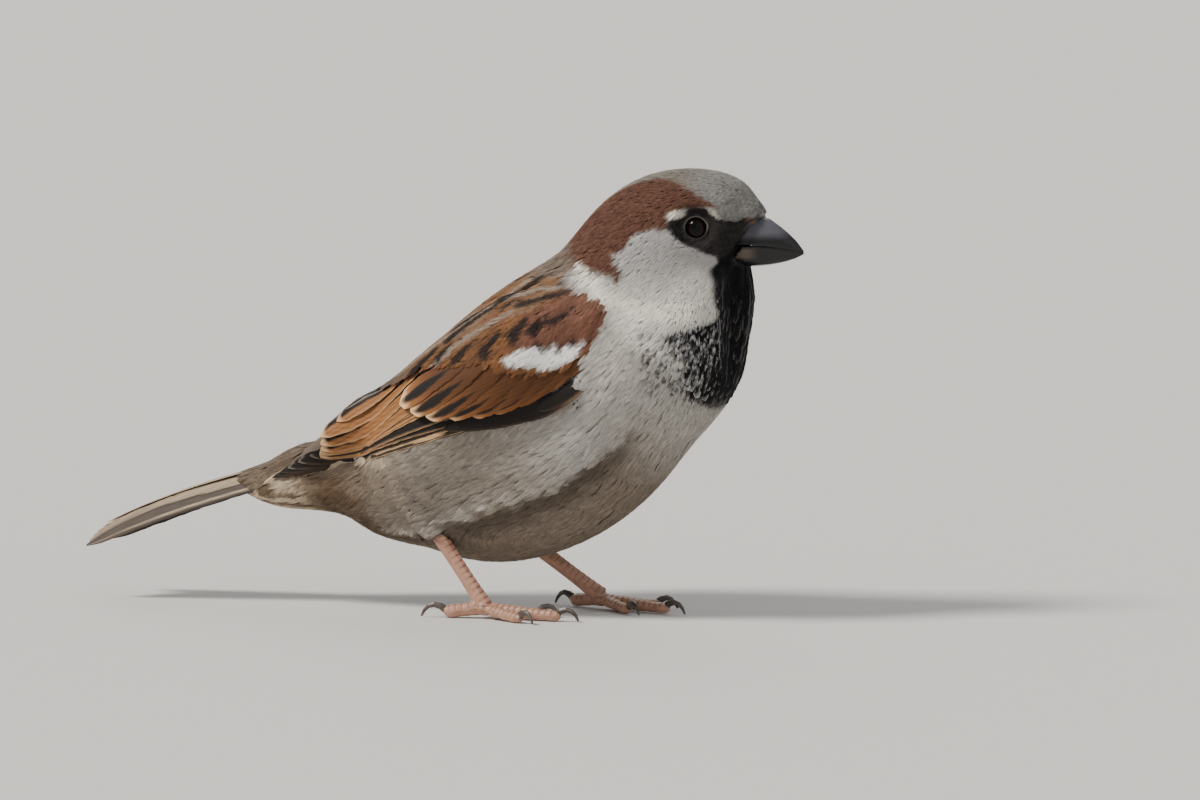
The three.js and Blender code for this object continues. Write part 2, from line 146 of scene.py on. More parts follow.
def inside_outline(x, z, corners):
    """How far points are inside a closed outline seen from the side; negative outside."""
    corners = np.array(corners, float)
    best = np.full(np.shape(x), 1e9)
    crossings = np.zeros(np.shape(x), int)
    for (x0, z0), (x1, z1) in zip(corners, np.roll(corners, -1, axis=0)):
        dx, dz = x1 - x0, z1 - z0
        t = np.clip(((x - x0) * dx + (z - z0) * dz) / (dx * dx + dz * dz), 0, 1)
        best = np.minimum(best, np.hypot(x - x0 - t * dx, z - z0 - t * dz))
        spans = (z0 > z) != (z1 > z)
        crossings += spans & (x < x0 + (z - z0) * dx / (dz if dz else 1e-9))
    return np.where(crossings % 2 == 1, best, -best)


# ---------------------------------------------------------------- meshes from the frame
def choose(*objects):
    """Selects objects, with the first as the active one."""
    bpy.ops.object.select_all(action="DESELECT")
    for thing in objects:
        thing.select_set(True)
    bpy.context.view_layer.objects.active = objects[0]


def joined_copy(name, nodes, grow):
    """One object from merged copies of CAD nodes, each grown by some millimetres."""
    copies = []
    for node in nodes:
        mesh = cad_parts[node].data.copy()
        mesh.materials.clear()
        form = bmesh.new()
        form.from_mesh(mesh)
        bmesh.ops.remove_doubles(form, verts=form.verts, dist=1e-7)
        form.normal_update()
        moved = [v.co + v.normal * grow * MM for v in form.verts]
        for vertex, place in zip(form.verts, moved):
            vertex.co = place
        form.to_mesh(mesh)
        form.free()
        copy = bpy.data.objects.new(name, mesh)
        bpy.context.collection.objects.link(copy)
        copies.append(copy)
    choose(*copies)
    if len(copies) > 1:
        bpy.ops.object.join()
    copies[0].name = name
    copies[0].data.name = name
    return copies[0]


def apply_modifier(piece, kind, **settings):
    """Adds a modifier and applies it, so that only its result is left."""
    choose(piece)
    modifier = piece.modifiers.new(kind.title(), kind)
    for key, value in settings.items():
        setattr(modifier, key, value)
    bpy.ops.object.modifier_apply(modifier=modifier.name)


def melted(piece, voxel, rounds):
    """Melts overlapping bodies into one and smooths it; sizes in millimetres."""
    apply_modifier(piece, "REMESH", mode="VOXEL", voxel_size=voxel * MM)
    apply_modifier(piece, "SMOOTH", factor=0.5, iterations=rounds)


def vectors(items, field):
    """A field of three numbers for each item, as rows."""
    flat = np.empty(len(items) * 3, np.float32)
    items.foreach_get(field, flat)
    return flat.reshape(-1, 3).astype(float)


def points_of(piece):
    return to_part(vectors(piece.data.vertices, "co"))


def normals_of(piece):
    return vectors(piece.data.vertex_normals, "vector")


def triangles_of(piece):
    piece.data.calc_loop_triangles()
    corners = np.empty(len(piece.data.loop_triangles) * 3, np.int32)
    piece.data.loop_triangles.foreach_get("vertices", corners)
    return corners.reshape(-1, 3)


def set_points(piece, points):
    piece.data.vertices.foreach_set("co", to_frame(points).astype(np.float32).ravel())
    piece.data.update()


def shade_smooth(piece):
    piece.data.polygons.foreach_set("use_smooth", np.ones(len(piece.data.polygons), bool))


def paint(piece, colours):
    """One linear colour for each vertex."""
    layer = piece.data.color_attributes.new(name=PAINT_LAYER, type="FLOAT_COLOR", domain="POINT")
    rgba = np.ones((len(colours), 4), np.float32)
    rgba[:, :3] = np.clip(colours, 0, 1)
    layer.data.foreach_set("color", rgba.ravel())


def mesh_piece(name, points, faces, colours, maps, normals):
    """A smooth object from arrays: faces are rows of vertex numbers, maps are UVs by vertex."""
    mesh = bpy.data.meshes.new(name)
    count, sides = faces.shape
    mesh.vertices.add(len(points))
    mesh.vertices.foreach_set("co", to_frame(points).astype(np.float32).ravel())
    mesh.loops.add(count * sides)
    mesh.loops.foreach_set("vertex_index", faces.astype(np.int32).ravel())
    mesh.polygons.add(count)
    mesh.polygons.foreach_set("loop_start", np.arange(0, count * sides, sides, dtype=np.int32))
    mesh.polygons.foreach_set("use_smooth", np.ones(count, bool))
    mesh.update(calc_edges=True)
    for map_name, places in maps.items():
        layer = mesh.uv_layers.new(name=map_name)
        layer.data.foreach_set("uv", places[faces.ravel()].astype(np.float32).ravel())
    piece = bpy.data.objects.new(name, mesh)
    bpy.context.collection.objects.link(piece)
    paint(piece, colours)
    mesh.normals_split_custom_set_from_vertices(normals)
    return piece


def finish_piece(piece, material, slot, *replaced):
    """Gives a piece its material and the CAD nodes that it takes the place of, which it hides; the slot is
    not used.
    """
    piece.data.materials.clear()
    piece.data.materials.append(material)
    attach(piece, "root")
    if replaced:
        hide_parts(*replaced)


# ---------------------------------------------------------------- the form of the plumage
CANDIDATES = 3  # places tried for each one that is kept
PACKING = 0.78  # the gap between even places, where one to a square millimetre would be 1


def spaced(places, gaps):
    """Numbers of some of the places, with none nearer to another than its gap."""
    tree = KDTree(len(places))
    for number, place in enumerate(places.tolist()):
        tree.insert(place, number)
    tree.balance()
    free = np.ones(len(places), bool)
    kept = []
    for number in rng.permutation(len(places)).tolist():
        if free[number]:
            kept.append(number)
            for _, near, _ in tree.find_range(places[number].tolist(), gaps[number]):
                free[near] = False
    return np.sort(np.array(kept))


class Ground:
    """A surface that feathers grow on."""

    def __init__(self, points, faces):
        self.points, self.faces = points, faces
        self.tree = BVHTree.FromPolygons(points.tolist(), faces.tolist())
        corners = points[faces]
        crosses = np.cross(corners[:, 1] - corners[:, 0], corners[:, 2] - corners[:, 0])
        self.areas = np.linalg.norm(crosses, axis=1) / 2
        self.normals = unit(crosses)
        self.middles = corners.mean(1)

    def nearest(self, points):
        """The nearest places on the surface, and its normals there."""
        found = [self.tree.find_nearest(point)[:2] for point in points.tolist()]
        pairs = [(tuple(place), tuple(normal)) for place, normal in found]
        return np.array(pairs).transpose(1, 0, 2)

    def scatter(self, density):
        """Even places on the surface, about `density` of them to a square millimetre."""
        due = np.cumsum(self.areas * density(self.middles)) * CANDIDATES
        count = int(due[-1])
        steps = np.arange(count) + rng.uniform(0, 1, count)
        chosen = np.clip(np.searchsorted(due, steps), 0, len(due) - 1)
        a, b = rng.random((2, count, 1))
        fold = (a + b) > 1
        a, b = np.where(fold, 1 - a, a), np.where(fold, 1 - b, b)
        first, second, third = self.points[self.faces[chosen]].transpose(1, 0, 2)
        places = first + (second - first) * a + (third - first) * b
        kept = spaced(places, PACKING / np.sqrt(density(places)))
        return places[kept], self.normals[chosen][kept]


FORM_GROW = 0.25  # closes the thin cuts between the CAD nodes
BODY_NODES = ["head", "neck", "trunk", "thigh_right", "thigh_left"]
BROW_OUT = 0.85  # how far the feathers over the bill stand forward
HOLLOW_AXIS = 30  # height of the line under the back that the hollow's turns are taken from
RUMP_SUNK = 2.6
RUMP_RAISED = 0.4  # as a share of that, over the feathers that cover the root of the tail
bill_base = profile(
    (60, 56), (65.1, 57.1), (67.7, 57.6), (68.6, 58.3), (70.7, 59), (72.2, 59.9), (73.0, 61.4), (77, 62)
)


def shape_face(points):
    """Narrows the face to the bill and ends it, beside the bill, on the line of the bill's base."""
    points[:, 1] *= lerp(1, 0.8, smoothstep(55.5, 60, points[:, 0]))
    past_base = np.maximum(0, points[:, 0] - bill_base(points[:, 2]) + 0.3)
    points[:, 0] -= 0.85 * past_base * smoothstep(1.6, 3.0, np.abs(points[:, 1]))
    brow = smoothstep(56, 60, points[:, 0]) * band(points[:, 2], 71.2, 72.4, 72.8, 76.2)
    points[:, 0] += BROW_OUT * brow * smoothstep(5, 3, np.abs(points[:, 1]))


def hollow_back(points):
    """Lays the lower back deeper than the folded wings on both sides of it."""
    along = points @ FORWARD
    from_top = np.degrees(np.arctan2(np.abs(points[:, 1]), points @ UPWARD - HOLLOW_AXIS))
    hollow = band(along, -10, -4, 11, 24) * smoothstep(46, 26, from_top)
    hollow -= RUMP_RAISED * smoothstep(-8, -14, along) * smoothstep(60, 35, from_top)
    points -= np.outer(RUMP_SUNK * hollow, UPWARD)


form = joined_copy("skin", BODY_NODES, FORM_GROW)
melted(form, voxel=0.75, rounds=12)
form_points, form_normals = points_of(form), normals_of(form)
form_points -= form_normals * FORM_GROW
shape_face(form_points)
hollow_back(form_points)

# Each eye looks out along its own axis, given for the left side, from a flat place in the face.
EYE_MIDDLE = np.array([51.4, 8.22, 71.0])
EYE_OUTWARD = unit(np.array([0.25, 0.95, 0.15]))
EYE_RADIUS = 2.38
EYE_SOCKET = 2.4  # radius of the flat place
EYE_INNERMOST = -3  # how far in along its axis an eye's own side of the head reaches


def from_eye_axis(points):
    """How far points are from the axis of the eye on their side, and how far out along it."""
    mirrored = np.stack([points[..., 0], np.abs(points[..., 1]), points[..., 2]], -1)
    from_middle = mirrored - EYE_MIDDLE
    out = from_middle @ EYE_OUTWARD
    return np.linalg.norm(from_middle - out[..., None] * EYE_OUTWARD, axis=-1), out


def on_side_of(points, left):
    """A place or way given for the left side, on the side that each point is on."""
    return np.where(points[:, 1:2] < 0, left * [1, -1, 1], left)


def flatten_at_eyes(points):
    """Makes a flat place in the face round each eye, and gives how far out it is."""
    away, out = from_eye_axis(points)
    plane = out[(away < EYE_SOCKET) & (out > EYE_INNERMOST)].mean()
    flatter = smoothstep(4.2, EYE_SOCKET, away) * (out > EYE_INNERMOST)
    points += on_side_of(points, EYE_OUTWARD) * (flatter * (plane - out))[:, None]
    return plane


EYE_PLANE = flatten_at_eyes(form_points)
form_faces = triangles_of(form)
body_ground = Ground(form_points, form_faces)

keel = profile(
    (-24, 36.5), (-14, 34.4), (2, 29.8), (23, 24.3), (40, 21), (52, 21.8), (62, 28), (74, 34), (88, 37)
)
FIRST_PLACE, LAST_PLACE, PLACE_STEP = -23.0, 87.0, 1.0
TURN_STEPS = 72


def section_middle(place):
    """The middle of a section, on the keel line inside the body."""
    place = np.asarray(place, float)
    return place[..., None] * FORWARD + keel(place)[..., None] * UPWARD


def reach_table():
    """How far the surface is from the middle of each section, by place and turn."""
    places = np.arange(FIRST_PLACE, LAST_PLACE + PLACE_STEP / 2, PLACE_STEP)
    turns = np.linspace(0, np.pi, TURN_STEPS + 1)
    table = np.zeros((len(places), len(turns)))
    for i, middle in enumerate(section_middle(places)):
        for j, turn in enumerate(turns):
            way = UPWARD * math.cos(turn) + LEFTWARD * math.sin(turn)
            hit = body_ground.tree.ray_cast(Vector(middle), Vector(way))
            table[i, j] = hit[3] if hit[0] else 0
    return table


REACH = reach_table()


def reach(place, turn):
    """How far the surface is from a section's middle, read between the table's values."""
    x = np.clip((place - FIRST_PLACE) / PLACE_STEP, 0, REACH.shape[0] - 1.001)
    y = np.clip(np.abs(turn) / np.pi * TURN_STEPS, 0, TURN_STEPS - 0.001)
    i, j = x.astype(int), y.astype(int)
    fx, fy = x - i, y - j
    near = lerp(REACH[i, j], REACH[i, j + 1], fy)
    far = lerp(REACH[i + 1, j], REACH[i + 1, j + 1], fy)
    return lerp(near, far, fx)


def over_surface(place, turn, height):
    """Points over the plumage; turn 0 is the back, a quarter the left side, half the belly."""
    way = np.cos(turn)[..., None] * UPWARD + np.sin(turn)[..., None] * LEFTWARD
    return section_middle(place) + way * (reach(place, turn) + height)[..., None]


def place_and_turn(points):
    """Where points are along the body, and which way they lie from its middle line."""
    place = points @ FORWARD
    up = points @ UPWARD - keel(place)
    return place, np.arctan2(points[..., 1], up)


# ---------------------------------------------------------------- markings of the head and body
EYE_SEEN_X, EYE_SEEN_Z = 51.7, 71.5  # the eye in the side view, which the markings are drawn in
BILL_BASE = np.array([57.5, 0.0, 68.2])
CROWN_GREY = colour(121, 113, 104)
FOREHEAD_GREY = colour(131, 128, 124)
CHESTNUT = colour(93, 63, 51)
CHEEK_GREY = colour(172, 169, 166)
COLLAR_WHITE = colour(236, 227, 214)
SPOT_WHITE = colour(230, 221, 208)
MASK_BLACK = colour(45, 42, 41)
BIB_BLACK = colour(17, 16, 18)
SCALE_FRINGE = colour(204, 201, 199)
BREAST_GREY = colour(168, 163, 156)
FLANK_GREY = colour(137, 127, 116)
# Painted shade: the belly's grey is darker than the bird's own pale grey belly.
BELLY_GREY_IN_SHADE = colour(124, 111, 98)
# A painted shadow, laid on the belly just under the flank's loose edge.
BELLY_PAINTED_SHADOW = colour(76, 66, 57)
FLANK_TIP = colour(198, 190, 180)
REAR_FLANK = colour(113, 99, 84)
# The vent's buff is dark: partly its own colour and partly painted shade.
VENT_BUFF_IN_SHADE = colour(92, 76, 60)
UNDERTAIL_BUFF = colour(198, 178, 152)
STREAK_BROWN = colour(84, 66, 50)
RUMP_BROWN = colour(104, 89, 76)
HINDNECK_BROWN = colour(112, 99, 87)
NOSTRIL_BROWN = colour(104, 74, 48)
FEATHER_BLACK = colour(28, 23, 21)
MANTLE_BUFF = colour(127, 103, 81)
MANTLE_RUSTY = colour(118, 77, 48)
FRINGE_GREY = colour(146, 134, 121)
LESSER_CHESTNUT = colour(114, 76, 60)
COVERT_RUSTY = colour(126, 84, 51)
COVERT_BASE = colour(92, 59, 38)
BAR_WHITE = colour(255, 253, 248)
BUFF_EDGE = colour(206, 166, 124)
COVERT_INNER = colour(84, 52, 29)
COVERT_OUTER = colour(118, 74, 41)
TERTIAL_RUSTY = colour(150, 101, 60)
PRIMARY_EDGE = colour(196, 162, 120)
PRIMARY_DARK = colour(62, 50, 41)

# Half widths of the grey crown by place along the head, and of the bib by height.
crown_half = profile(
    (31, 0.5), (34, 2.4), (38.4, 3.9), (44.1, 4.9), (49.3, 7.0), (52.5, 8.0), (55, 8.8), (60, 11)
)
bib_half = profile(
    (38, 2.5), (39.2, 7), (40.5, 10.6), (44.5, 13.5), (48, 14.2), (50, 14.5), (52.4, 14.4), (53.2, 12.6),
    (54.2, 9.6), (55.2, 8.3), (57.3, 8.6), (59.6, 8.3), (61.3, 7.8), (63.4, 7.5), (65, 6), (66.5, 4.6),
    (68, 3),
)
# Outlines and lines in the side view, as (x, z).
CHESTNUT_SIDE = [
    (55.0, 74.5), (52.5, 84.0), (34.0, 84.0), (25.0, 72.0), (27.7, 65.3), (30.2, 64.4), (34.1, 62.9),
    (37.5, 61.9), (39.0, 61.0), (39.8, 62.6), (38.2, 64.3), (37.5, 66.5), (39.0, 66.7), (39.9, 68.6),
    (40.9, 69.5), (43.3, 70.5), (46.8, 70.4), (47.2, 72.4), (49.0, 74.2), (52.0, 74.3),
]
MASK_SIDE = [
    (46.8, 71.0), (47.4, 72.4), (49.4, 73.5), (50.4, 74.5), (53.0, 74.5), (54.0, 73.5), (55.9, 72.5),
    (57.4, 72.1), (59.1, 72.3), (60.0, 72.8), (63.0, 72.8), (63.0, 60.0), (56.4, 62.2), (55.6, 63.8),
    (54.5, 65.7), (52.9, 66.5), (50.3, 67.6), (48.7, 68.8), (47.3, 70.3),
]
BROW_LINE = [(49.5, 76.0), (52.4, 75.6), (55.2, 74.5)]
COLLAR_LINE = [(30.2, 64.6), (32.6, 62.0), (37.0, 58.6), (43.0, 56.6), (50.0, 56.0)]


def spot(x, z, middle_x, middle_z, half_long, half_high, tilt):
    """1 in the middle of a small tilted oval, falling to 0 outside it."""
    cos, sin = math.cos(math.radians(tilt)), math.sin(math.radians(tilt))
    along = (x - middle_x) * cos + (z - middle_z) * sin
    up = (z - middle_z) * cos - (x - middle_x) * sin
    return 1 - smoothstep(0.75, 1.25, np.hypot(along / half_long, up / half_high))


def line_distance(x, z, line):
    """How far points are from a line, and how far along it from 0 to 1 they are nearest."""
    near, share = np.full(np.shape(x), 1e9), np.zeros(np.shape(x))
    for i, ((x0, z0), (x1, z1)) in enumerate(zip(line, line[1:])):
        dx, dz = x1 - x0, z1 - z0
        t = np.clip(((x - x0) * dx + (z - z0) * dz) / (dx * dx + dz * dz), 0, 1)
        away = np.hypot(x - x0 - t * dx, z - z0 - t * dz)
        share = np.where(away < near, (i + t) / (len(line) - 1), share)
        near = np.minimum(near, away)
    return near, share


def along_line(x, z, line, first_half, last_half):
    """1 on a line that widens or narrows from one half width to the other, 0 beyond it."""
    near, share = line_distance(x, z, line)
    half = lerp(first_half, last_half, share)
    return 1 - smoothstep(-0.2, 0.25, near - half)


def blend(base, over, share):
    """A colour for each point, between one and another by a share from 0 to 1."""
    return base + (over - base) * np.clip(share, 0, 1)[..., None]


# Marks over the back and wing lie in millimetres along the body and, for each degree of turn,
# DEGREE_MM millimetres down its side.
DEGREE_MM = 0.3


def by_turn(*stations):
    """(place, turn) stations with the turn as millimetres down the side."""
    return [(place, turn * DEGREE_MM) for place, turn in stations]


WING_OUTLINE = by_turn(
    (-24, 46), (-14.5, 46), (-6, 37), (6, 26), (20, 21), (43, 24), (52, 33), (57, 46), (59.5, 58),
    (60.8, 66), (61, 75), (57.5, 79), (54.8, 77), (53.8, 82), (51.5, 88), (50, 130), (-24, 130),
)
LESSER_AREA = by_turn((57, 40), (50, 45), (44, 52), (42, 57), (50, 66), (54, 78), (64, 84), (64, 50))
WHITE_BAR = by_turn(
    (38.7, 60), (41.0, 65), (43.2, 66.5), (44.2, 69.5), (48.2, 73), (50.6, 73.6), (52.6, 74),
    (53.3, 71.5), (51.9, 67.5), (49.8, 65), (48.8, 65), (48.0, 61.5), (46.6, 62), (46.1, 59.5), (43.1, 58.5),
)
# Black marks of the mantle and shoulder: their line and its first and last half width.
BLACK_MARKS = [
    (((53.6, 27), (50.8, 23), (48.3, 22)), 0.5, 0.8),
    (((48.9, 23), (45.4, 26), (41.4, 29)), 0.6, 1.2),
    (((57.0, 39), (53.3, 35)), 0.35, 0.6),
    (((56.2, 45), (51.4, 40), (45.2, 38)), 0.3, 0.6),
    (((44.8, 34), (42.2, 37)), 0.3, 0.4),
    (((42.1, 32), (36.5, 34), (29.6, 39)), 0.35, 0.75),
    (((38.5, 28), (31.5, 31)), 0.4, 0.8),
    (((30.6, 43.5), (27.3, 47.5)), 0.3, 0.6),
    (((35.2, 47.5), (30.6, 52.5)), 0.3, 0.75),
    (((27.4, 40), (20.8, 45)), 0.5, 0.9),
    (((55.2, 53), (49.8, 52.5)), 0.15, 0.5),
    (((49.6, 48), (46.3, 53)), 0.2, 0.85),
    (((46.4, 46.5), (42.5, 53)), 0.2, 0.9),
    (((41.0, 47.5), (36.8, 54.6)), 0.2, 0.85),
]
GREY_LINES = [
    by_turn((57, 42), (52.4, 36), (49.4, 32.5), (43.8, 31), (38, 31.5), (30, 35.5), (25, 35.5), (17.4, 36)),
    by_turn((51.5, 18), (45.2, 20.5), (41, 23.5), (34, 25), (27.9, 27), (22, 31)),
    by_turn((44, 41), (38, 42.5), (32.5, 45), (26, 50)),
]
BAR_NOTCHES = by_turn((52.0, 66.6), (49.0, 63.4), (46.5, 60.4))


def back_markings(points):
    """Colours of the mantle, shoulder and smaller wing coverts."""
    place, turn = place_and_turn(points)
    down = np.degrees(np.abs(turn)) * DEGREE_MM
    long_grain = np.stack([place * 0.22, down, np.zeros_like(place)], -1)
    fine = ripple(long_grain, 1.1, 21)
    place = place + 0.3 * ripple(points, 1.6, 22) + 0.35 * ripple(points * [0.6, 1, 1], 0.55, 25)
    down = down + 0.14 * ripple(points, 1.2, 23)

    tone = blend(MANTLE_BUFF, MANTLE_RUSTY, 0.55 + 0.6 * fine)
    tone = blend(tone, RUMP_BROWN, smoothstep(24, 14, place))
    tone = blend(tone, HINDNECK_BROWN, smoothstep(55, 59, place) * smoothstep(14, 10, down))
    for middle, start in ((0.6, 0), (3.4, 5)):
        dash = smoothstep(0.1, 0.4, np.sin((place + start) * 2 * np.pi / 9.5) + 0.2)
        line = smoothstep(0.85, 0.5, np.abs(down - middle)) * smoothstep(20, 25, place)
        tone = blend(tone, FEATHER_BLACK, dash * line * smoothstep(57, 53, place))
    shoulder = blend(COVERT_RUSTY, COVERT_BASE, 0.4 + 0.7 * fine)
    tone = blend(tone, shoulder, smoothstep(12.4, 13.6, down) * smoothstep(20, 24, place))
    lesser = inside_outline(place, down, LESSER_AREA)
    tone = blend(tone, LESSER_CHESTNUT * (1 + 0.25 * fine[..., None]), smoothstep(-1.5, 1.0, lesser))
    for line in GREY_LINES:
        tone = blend(tone, FRINGE_GREY, 0.75 * along_line(place, down, line, 0.3, 0.5))
    for line, first_half, last_half in BLACK_MARKS:
        mark = along_line(place, down, by_turn(*line), first_half, last_half)
        tone = blend(tone, FEATHER_BLACK, 0.95 * mark)
    bar = smoothstep(-0.15, 0.2, inside_outline(place, down, WHITE_BAR) + 0.12 * fine)
    for notch_place, notch_down in BAR_NOTCHES:
        notch = spot(place, down, notch_place, notch_down, 1.25, 0.62, 60)
        tone = blend(tone, FEATHER_BLACK, 0.8 * notch)
        bar = bar * (1 - notch)
    return blend(tone, BAR_WHITE, bar)


VENT_PALE_LINE = [(8, 29), (0, 26), (-7, 26.5), (-13, 28.5)]

# The feathers of the flank end in a loose edge over the belly, given by turn for each place.
flank_edge = profile((-10, 158), (3.6, 152), (12.7, 142), (23.6, 135), (33.7, 133), (44.2, 132), (53, 129))


def over_flank_edge(points):
    """Millimetres that points of the flank are above its loose edge; negative on the belly."""
    place, turn = place_and_turn(points)
    wander = 2.2 * ripple(points, 3.2, 26)
    return (flank_edge(place) - np.degrees(np.abs(turn)) + wander) * DEGREE_MM


def bib_share(points):
    """1 inside the black bib, 0 outside it."""
    x, y, z = np.moveaxis(points, -1, 0)
    ragged = 0.7 * ripple(points, 3.0, 4) + 0.8 * ripple(points, 1.3, 27)
    edge = bib_half(z) - np.abs(y) + ragged * smoothstep(53.5, 50, z)
    inside = smoothstep(-0.5, 0.5, edge) * smoothstep(37.2, 39.4, z) * smoothstep(44, 47, x)
    return inside * smoothstep(70, 68, z)


def bib_flecks(points):
    """Fine pale tips in the black, most at the sides of the breast and none on the throat."""
    _, y, z = np.moveaxis(points, -1, 0)
    least = lerp(0.72, 0.2, smoothstep(7, 13, np.abs(y)))
    flecks = ripple(points * [1, 1, 0.7], 0.62, 45)
    return 0.75 * smoothstep(0, 0.18, flecks - least) * smoothstep(5, 9, np.abs(y)) * smoothstep(61, 56, z)


def bib_dashes(points):
    """Short dark dashes in the grey beside the lower bib."""
    x, y, z = np.moveaxis(points, -1, 0)
    edge = bib_half(z) - np.abs(y)
    beside = band(edge, -3.4, -2.4, -0.6, 0.2)
    level = band(z, 38, 41, 52.2, 53.4) * smoothstep(42, 45, x)
    dashes = ripple(points * [0.8, 0.9, 0.42], 1.15, 32)
    return 0.95 * beside * level * smoothstep(0.1, 0.4, dashes)


def under_markings(points, place, turn):
    """Colours of the breast, flanks, belly and vent, with painted shade on the belly and vent and a painted
    shadow under the flank's loose edge.
    """
    grain = ripple(np.stack([place * 0.3, turn * 0.28, 0 * place], -1), 1.0, 28)
    tone = blend(BREAST_GREY, FLANK_GREY, smoothstep(46, 24, place))
    tone = blend(tone, REAR_FLANK, smoothstep(16, -2, place) * smoothstep(150, 110, turn))
    edge = over_flank_edge(points)
    tip = band(edge, -0.3, 0.3, 0.8, 2.6) * smoothstep(40, 18, place)
    tone = blend(tone, FLANK_TIP, tip * (0.45 + 0.35 * grain))
    # Painted shade: the belly below the flank's edge takes its darkened grey.
    tone = blend(tone, BELLY_GREY_IN_SHADE, smoothstep(0.8, -1.2, edge) * smoothstep(60, 44, place))
    # Painted shadow: a dark band on the belly just under the flank's loose edge, where the flank feathers
    # shade it.
    shadow_under_flank = band(edge, -5.0, -1.5, -0.7, 0.1)
    tone = blend(tone, BELLY_PAINTED_SHADOW, 0.8 * shadow_under_flank * smoothstep(58, 44, place))
    # Painted shade: the vent takes its darkened buff.
    tone = blend(tone, VENT_BUFF_IN_SHADE, smoothstep(4, -6, place) * smoothstep(98, 120, turn))
    tone = blend(tone, UNDERTAIL_BUFF, smoothstep(-8, -14, place) * smoothstep(98, 120, turn))
    tone = blend(tone, UNDERTAIL_BUFF, 0.7 * along_line(place, turn * DEGREE_MM, VENT_PALE_LINE, 0.8, 3.4))
    streaks = ripple(np.stack([place * 0.27, turn * 0.09, 0 * place], -1), 1.5, 24)
    tone = blend(tone, STREAK_BROWN, 0.9 * smoothstep(0.0, 0.45, streaks) * smoothstep(5, -4, place))
    return tone * (1 + 0.09 * grain)[..., None]


def body_markings(points):
    """Colours of the back and shoulders above, and of the breast, flanks and belly below."""
    place, turn = place_and_turn(points)
    turn = np.degrees(turn)
    under = under_markings(points, place, turn)
    return blend(back_markings(points), under, smoothstep(62, 84, turn + 4 * ripple(points, 5, 3)))


def with_neck(tone, x, y, z, speckle):
    """Adds the grey cheek, the white collar and the brown hind neck."""
    cheek = blend(CHEEK_GREY, COLLAR_WHITE, 0.5 * smoothstep(66, 58, z))
    tone = blend(tone, cheek, smoothstep(-1.5, 1.5, (x - 33.5) * 0.6 + (z - 57.5) * 0.8))
    hindneck = smoothstep(34, 31.5, x) * smoothstep(60.5, 62.5, z) * smoothstep(12.5, 11, y)
    tone = blend(tone, HINDNECK_BROWN * (1 + 0.2 * speckle), hindneck)
    return blend(tone, COLLAR_WHITE, 0.95 * along_line(x, z, COLLAR_LINE, 0.7, 1.9))


def with_head(tone, x, y, z, speckle):
    """Adds the chestnut side of the head, the grey crown, the brow and the black mask."""
    chestnut = smoothstep(-0.3, 0.3, inside_outline(x, z, CHESTNUT_SIDE))
    tone = blend(tone, CHESTNUT * (1 + 0.36 * speckle), chestnut)
    crown = smoothstep(-0.6, 0.6, crown_half(x) - y) * smoothstep(70, 73, z) * smoothstep(31, 34, x)
    crown = np.maximum(crown, smoothstep(53.9, 54.7, x + 0.5 * (z - 74)) * smoothstep(71.3, 72.0, z))
    crown_tone = blend(CROWN_GREY, FOREHEAD_GREY, smoothstep(46, 54, x))
    tone = blend(tone, crown_tone * (1 + 0.3 * speckle), crown)
    brow = along_line(x, z, BROW_LINE, 1.2, 0.15)
    tone = blend(tone, CHESTNUT * (0.94 + 0.28 * speckle), brow)
    mask = smoothstep(-0.2, 0.2, inside_outline(x, z, MASK_SIDE))
    return blend(tone, MASK_BLACK * (1 + 0.5 * speckle), mask)


def with_spots(tone, x, z):
    """Adds the white spots behind and before the eye, and the bare brown by the nostril."""
    tone = blend(tone, SPOT_WHITE, spot(x, z, 48.15, 73.25, 1.35, 0.68, 8))
    tone = blend(tone, SPOT_WHITE, 0.42 * spot(x, z, 54.6, 73.6, 1.5, 0.36, -30))
    return blend(tone, NOSTRIL_BROWN, spot(x, z, 60.1, 72.0, 0.65, 0.45, -40))


def markings(points):
    """The plumage's colour at points on the head and body, alike on both sides."""
    points = np.array(points, float)
    points[..., 1] = np.abs(points[..., 1])
    x, y, z = np.moveaxis(points, -1, 0)
    near_eye = smoothstep(9, 5, np.hypot(x - EYE_SEEN_X, z - EYE_SEEN_Z))
    wander = lerp(0.35, 0.14, near_eye)
    x = x + wander * ripple(points, 2.4, 1) + 0.5 * wander * ripple(points, 0.8, 29)
    z = z + wander * ripple(points, 2.0, 2) + 0.5 * wander * ripple(points, 0.7, 30)
    speckle = ripple(points, 0.75, 31)[..., None]
    tone = with_neck(body_markings(points), x, y, z, speckle)
    tone = with_head(tone, x, y, z, speckle)
    bib = blend(BIB_BLACK, SCALE_FRINGE, bib_flecks(points))
    tone = blend(tone, bib, np.maximum(bib_share(points), bib_dashes(points)))
    return with_spots(tone, x, z)


# ---------------------------------------------------------------- the coat's depth and the wing's height
def faceness(points):
    """1 at the bill's base, 0 from the neck back."""
    return smoothstep(24, 3, np.linalg.norm(points - BILL_BASE, axis=-1))


def on_thigh(points):
    """1 on the thighs, 0 elsewhere."""
    return smoothstep(18, 12, points[..., 2]) * smoothstep(8.5, 10, np.abs(points[..., 1]))


def on_head(points):
    """0 on the breast and back, 1 on the head."""
    return smoothstep(52, 66, points @ FORWARD)


def coat_depth(points):
    """How deep the roots of the tufts lie under the coat's top."""
    depth = lerp(0.36, 0.3, on_head(points))
    depth = lerp(depth, 0.2, faceness(points) ** 1.5)
    return lerp(depth, 0.3, on_thigh(points))


def wing_height(place, turn):
    """How far the folded wing's top stands over the body."""
    inside = inside_outline(place, np.degrees(np.abs(turn)) * DEGREE_MM, WING_OUTLINE)
    rise = smoothstep(-2.5, 6.0, inside)
    return 2.1 * rise * lerp(1, 0.72, smoothstep(8, -14, place))


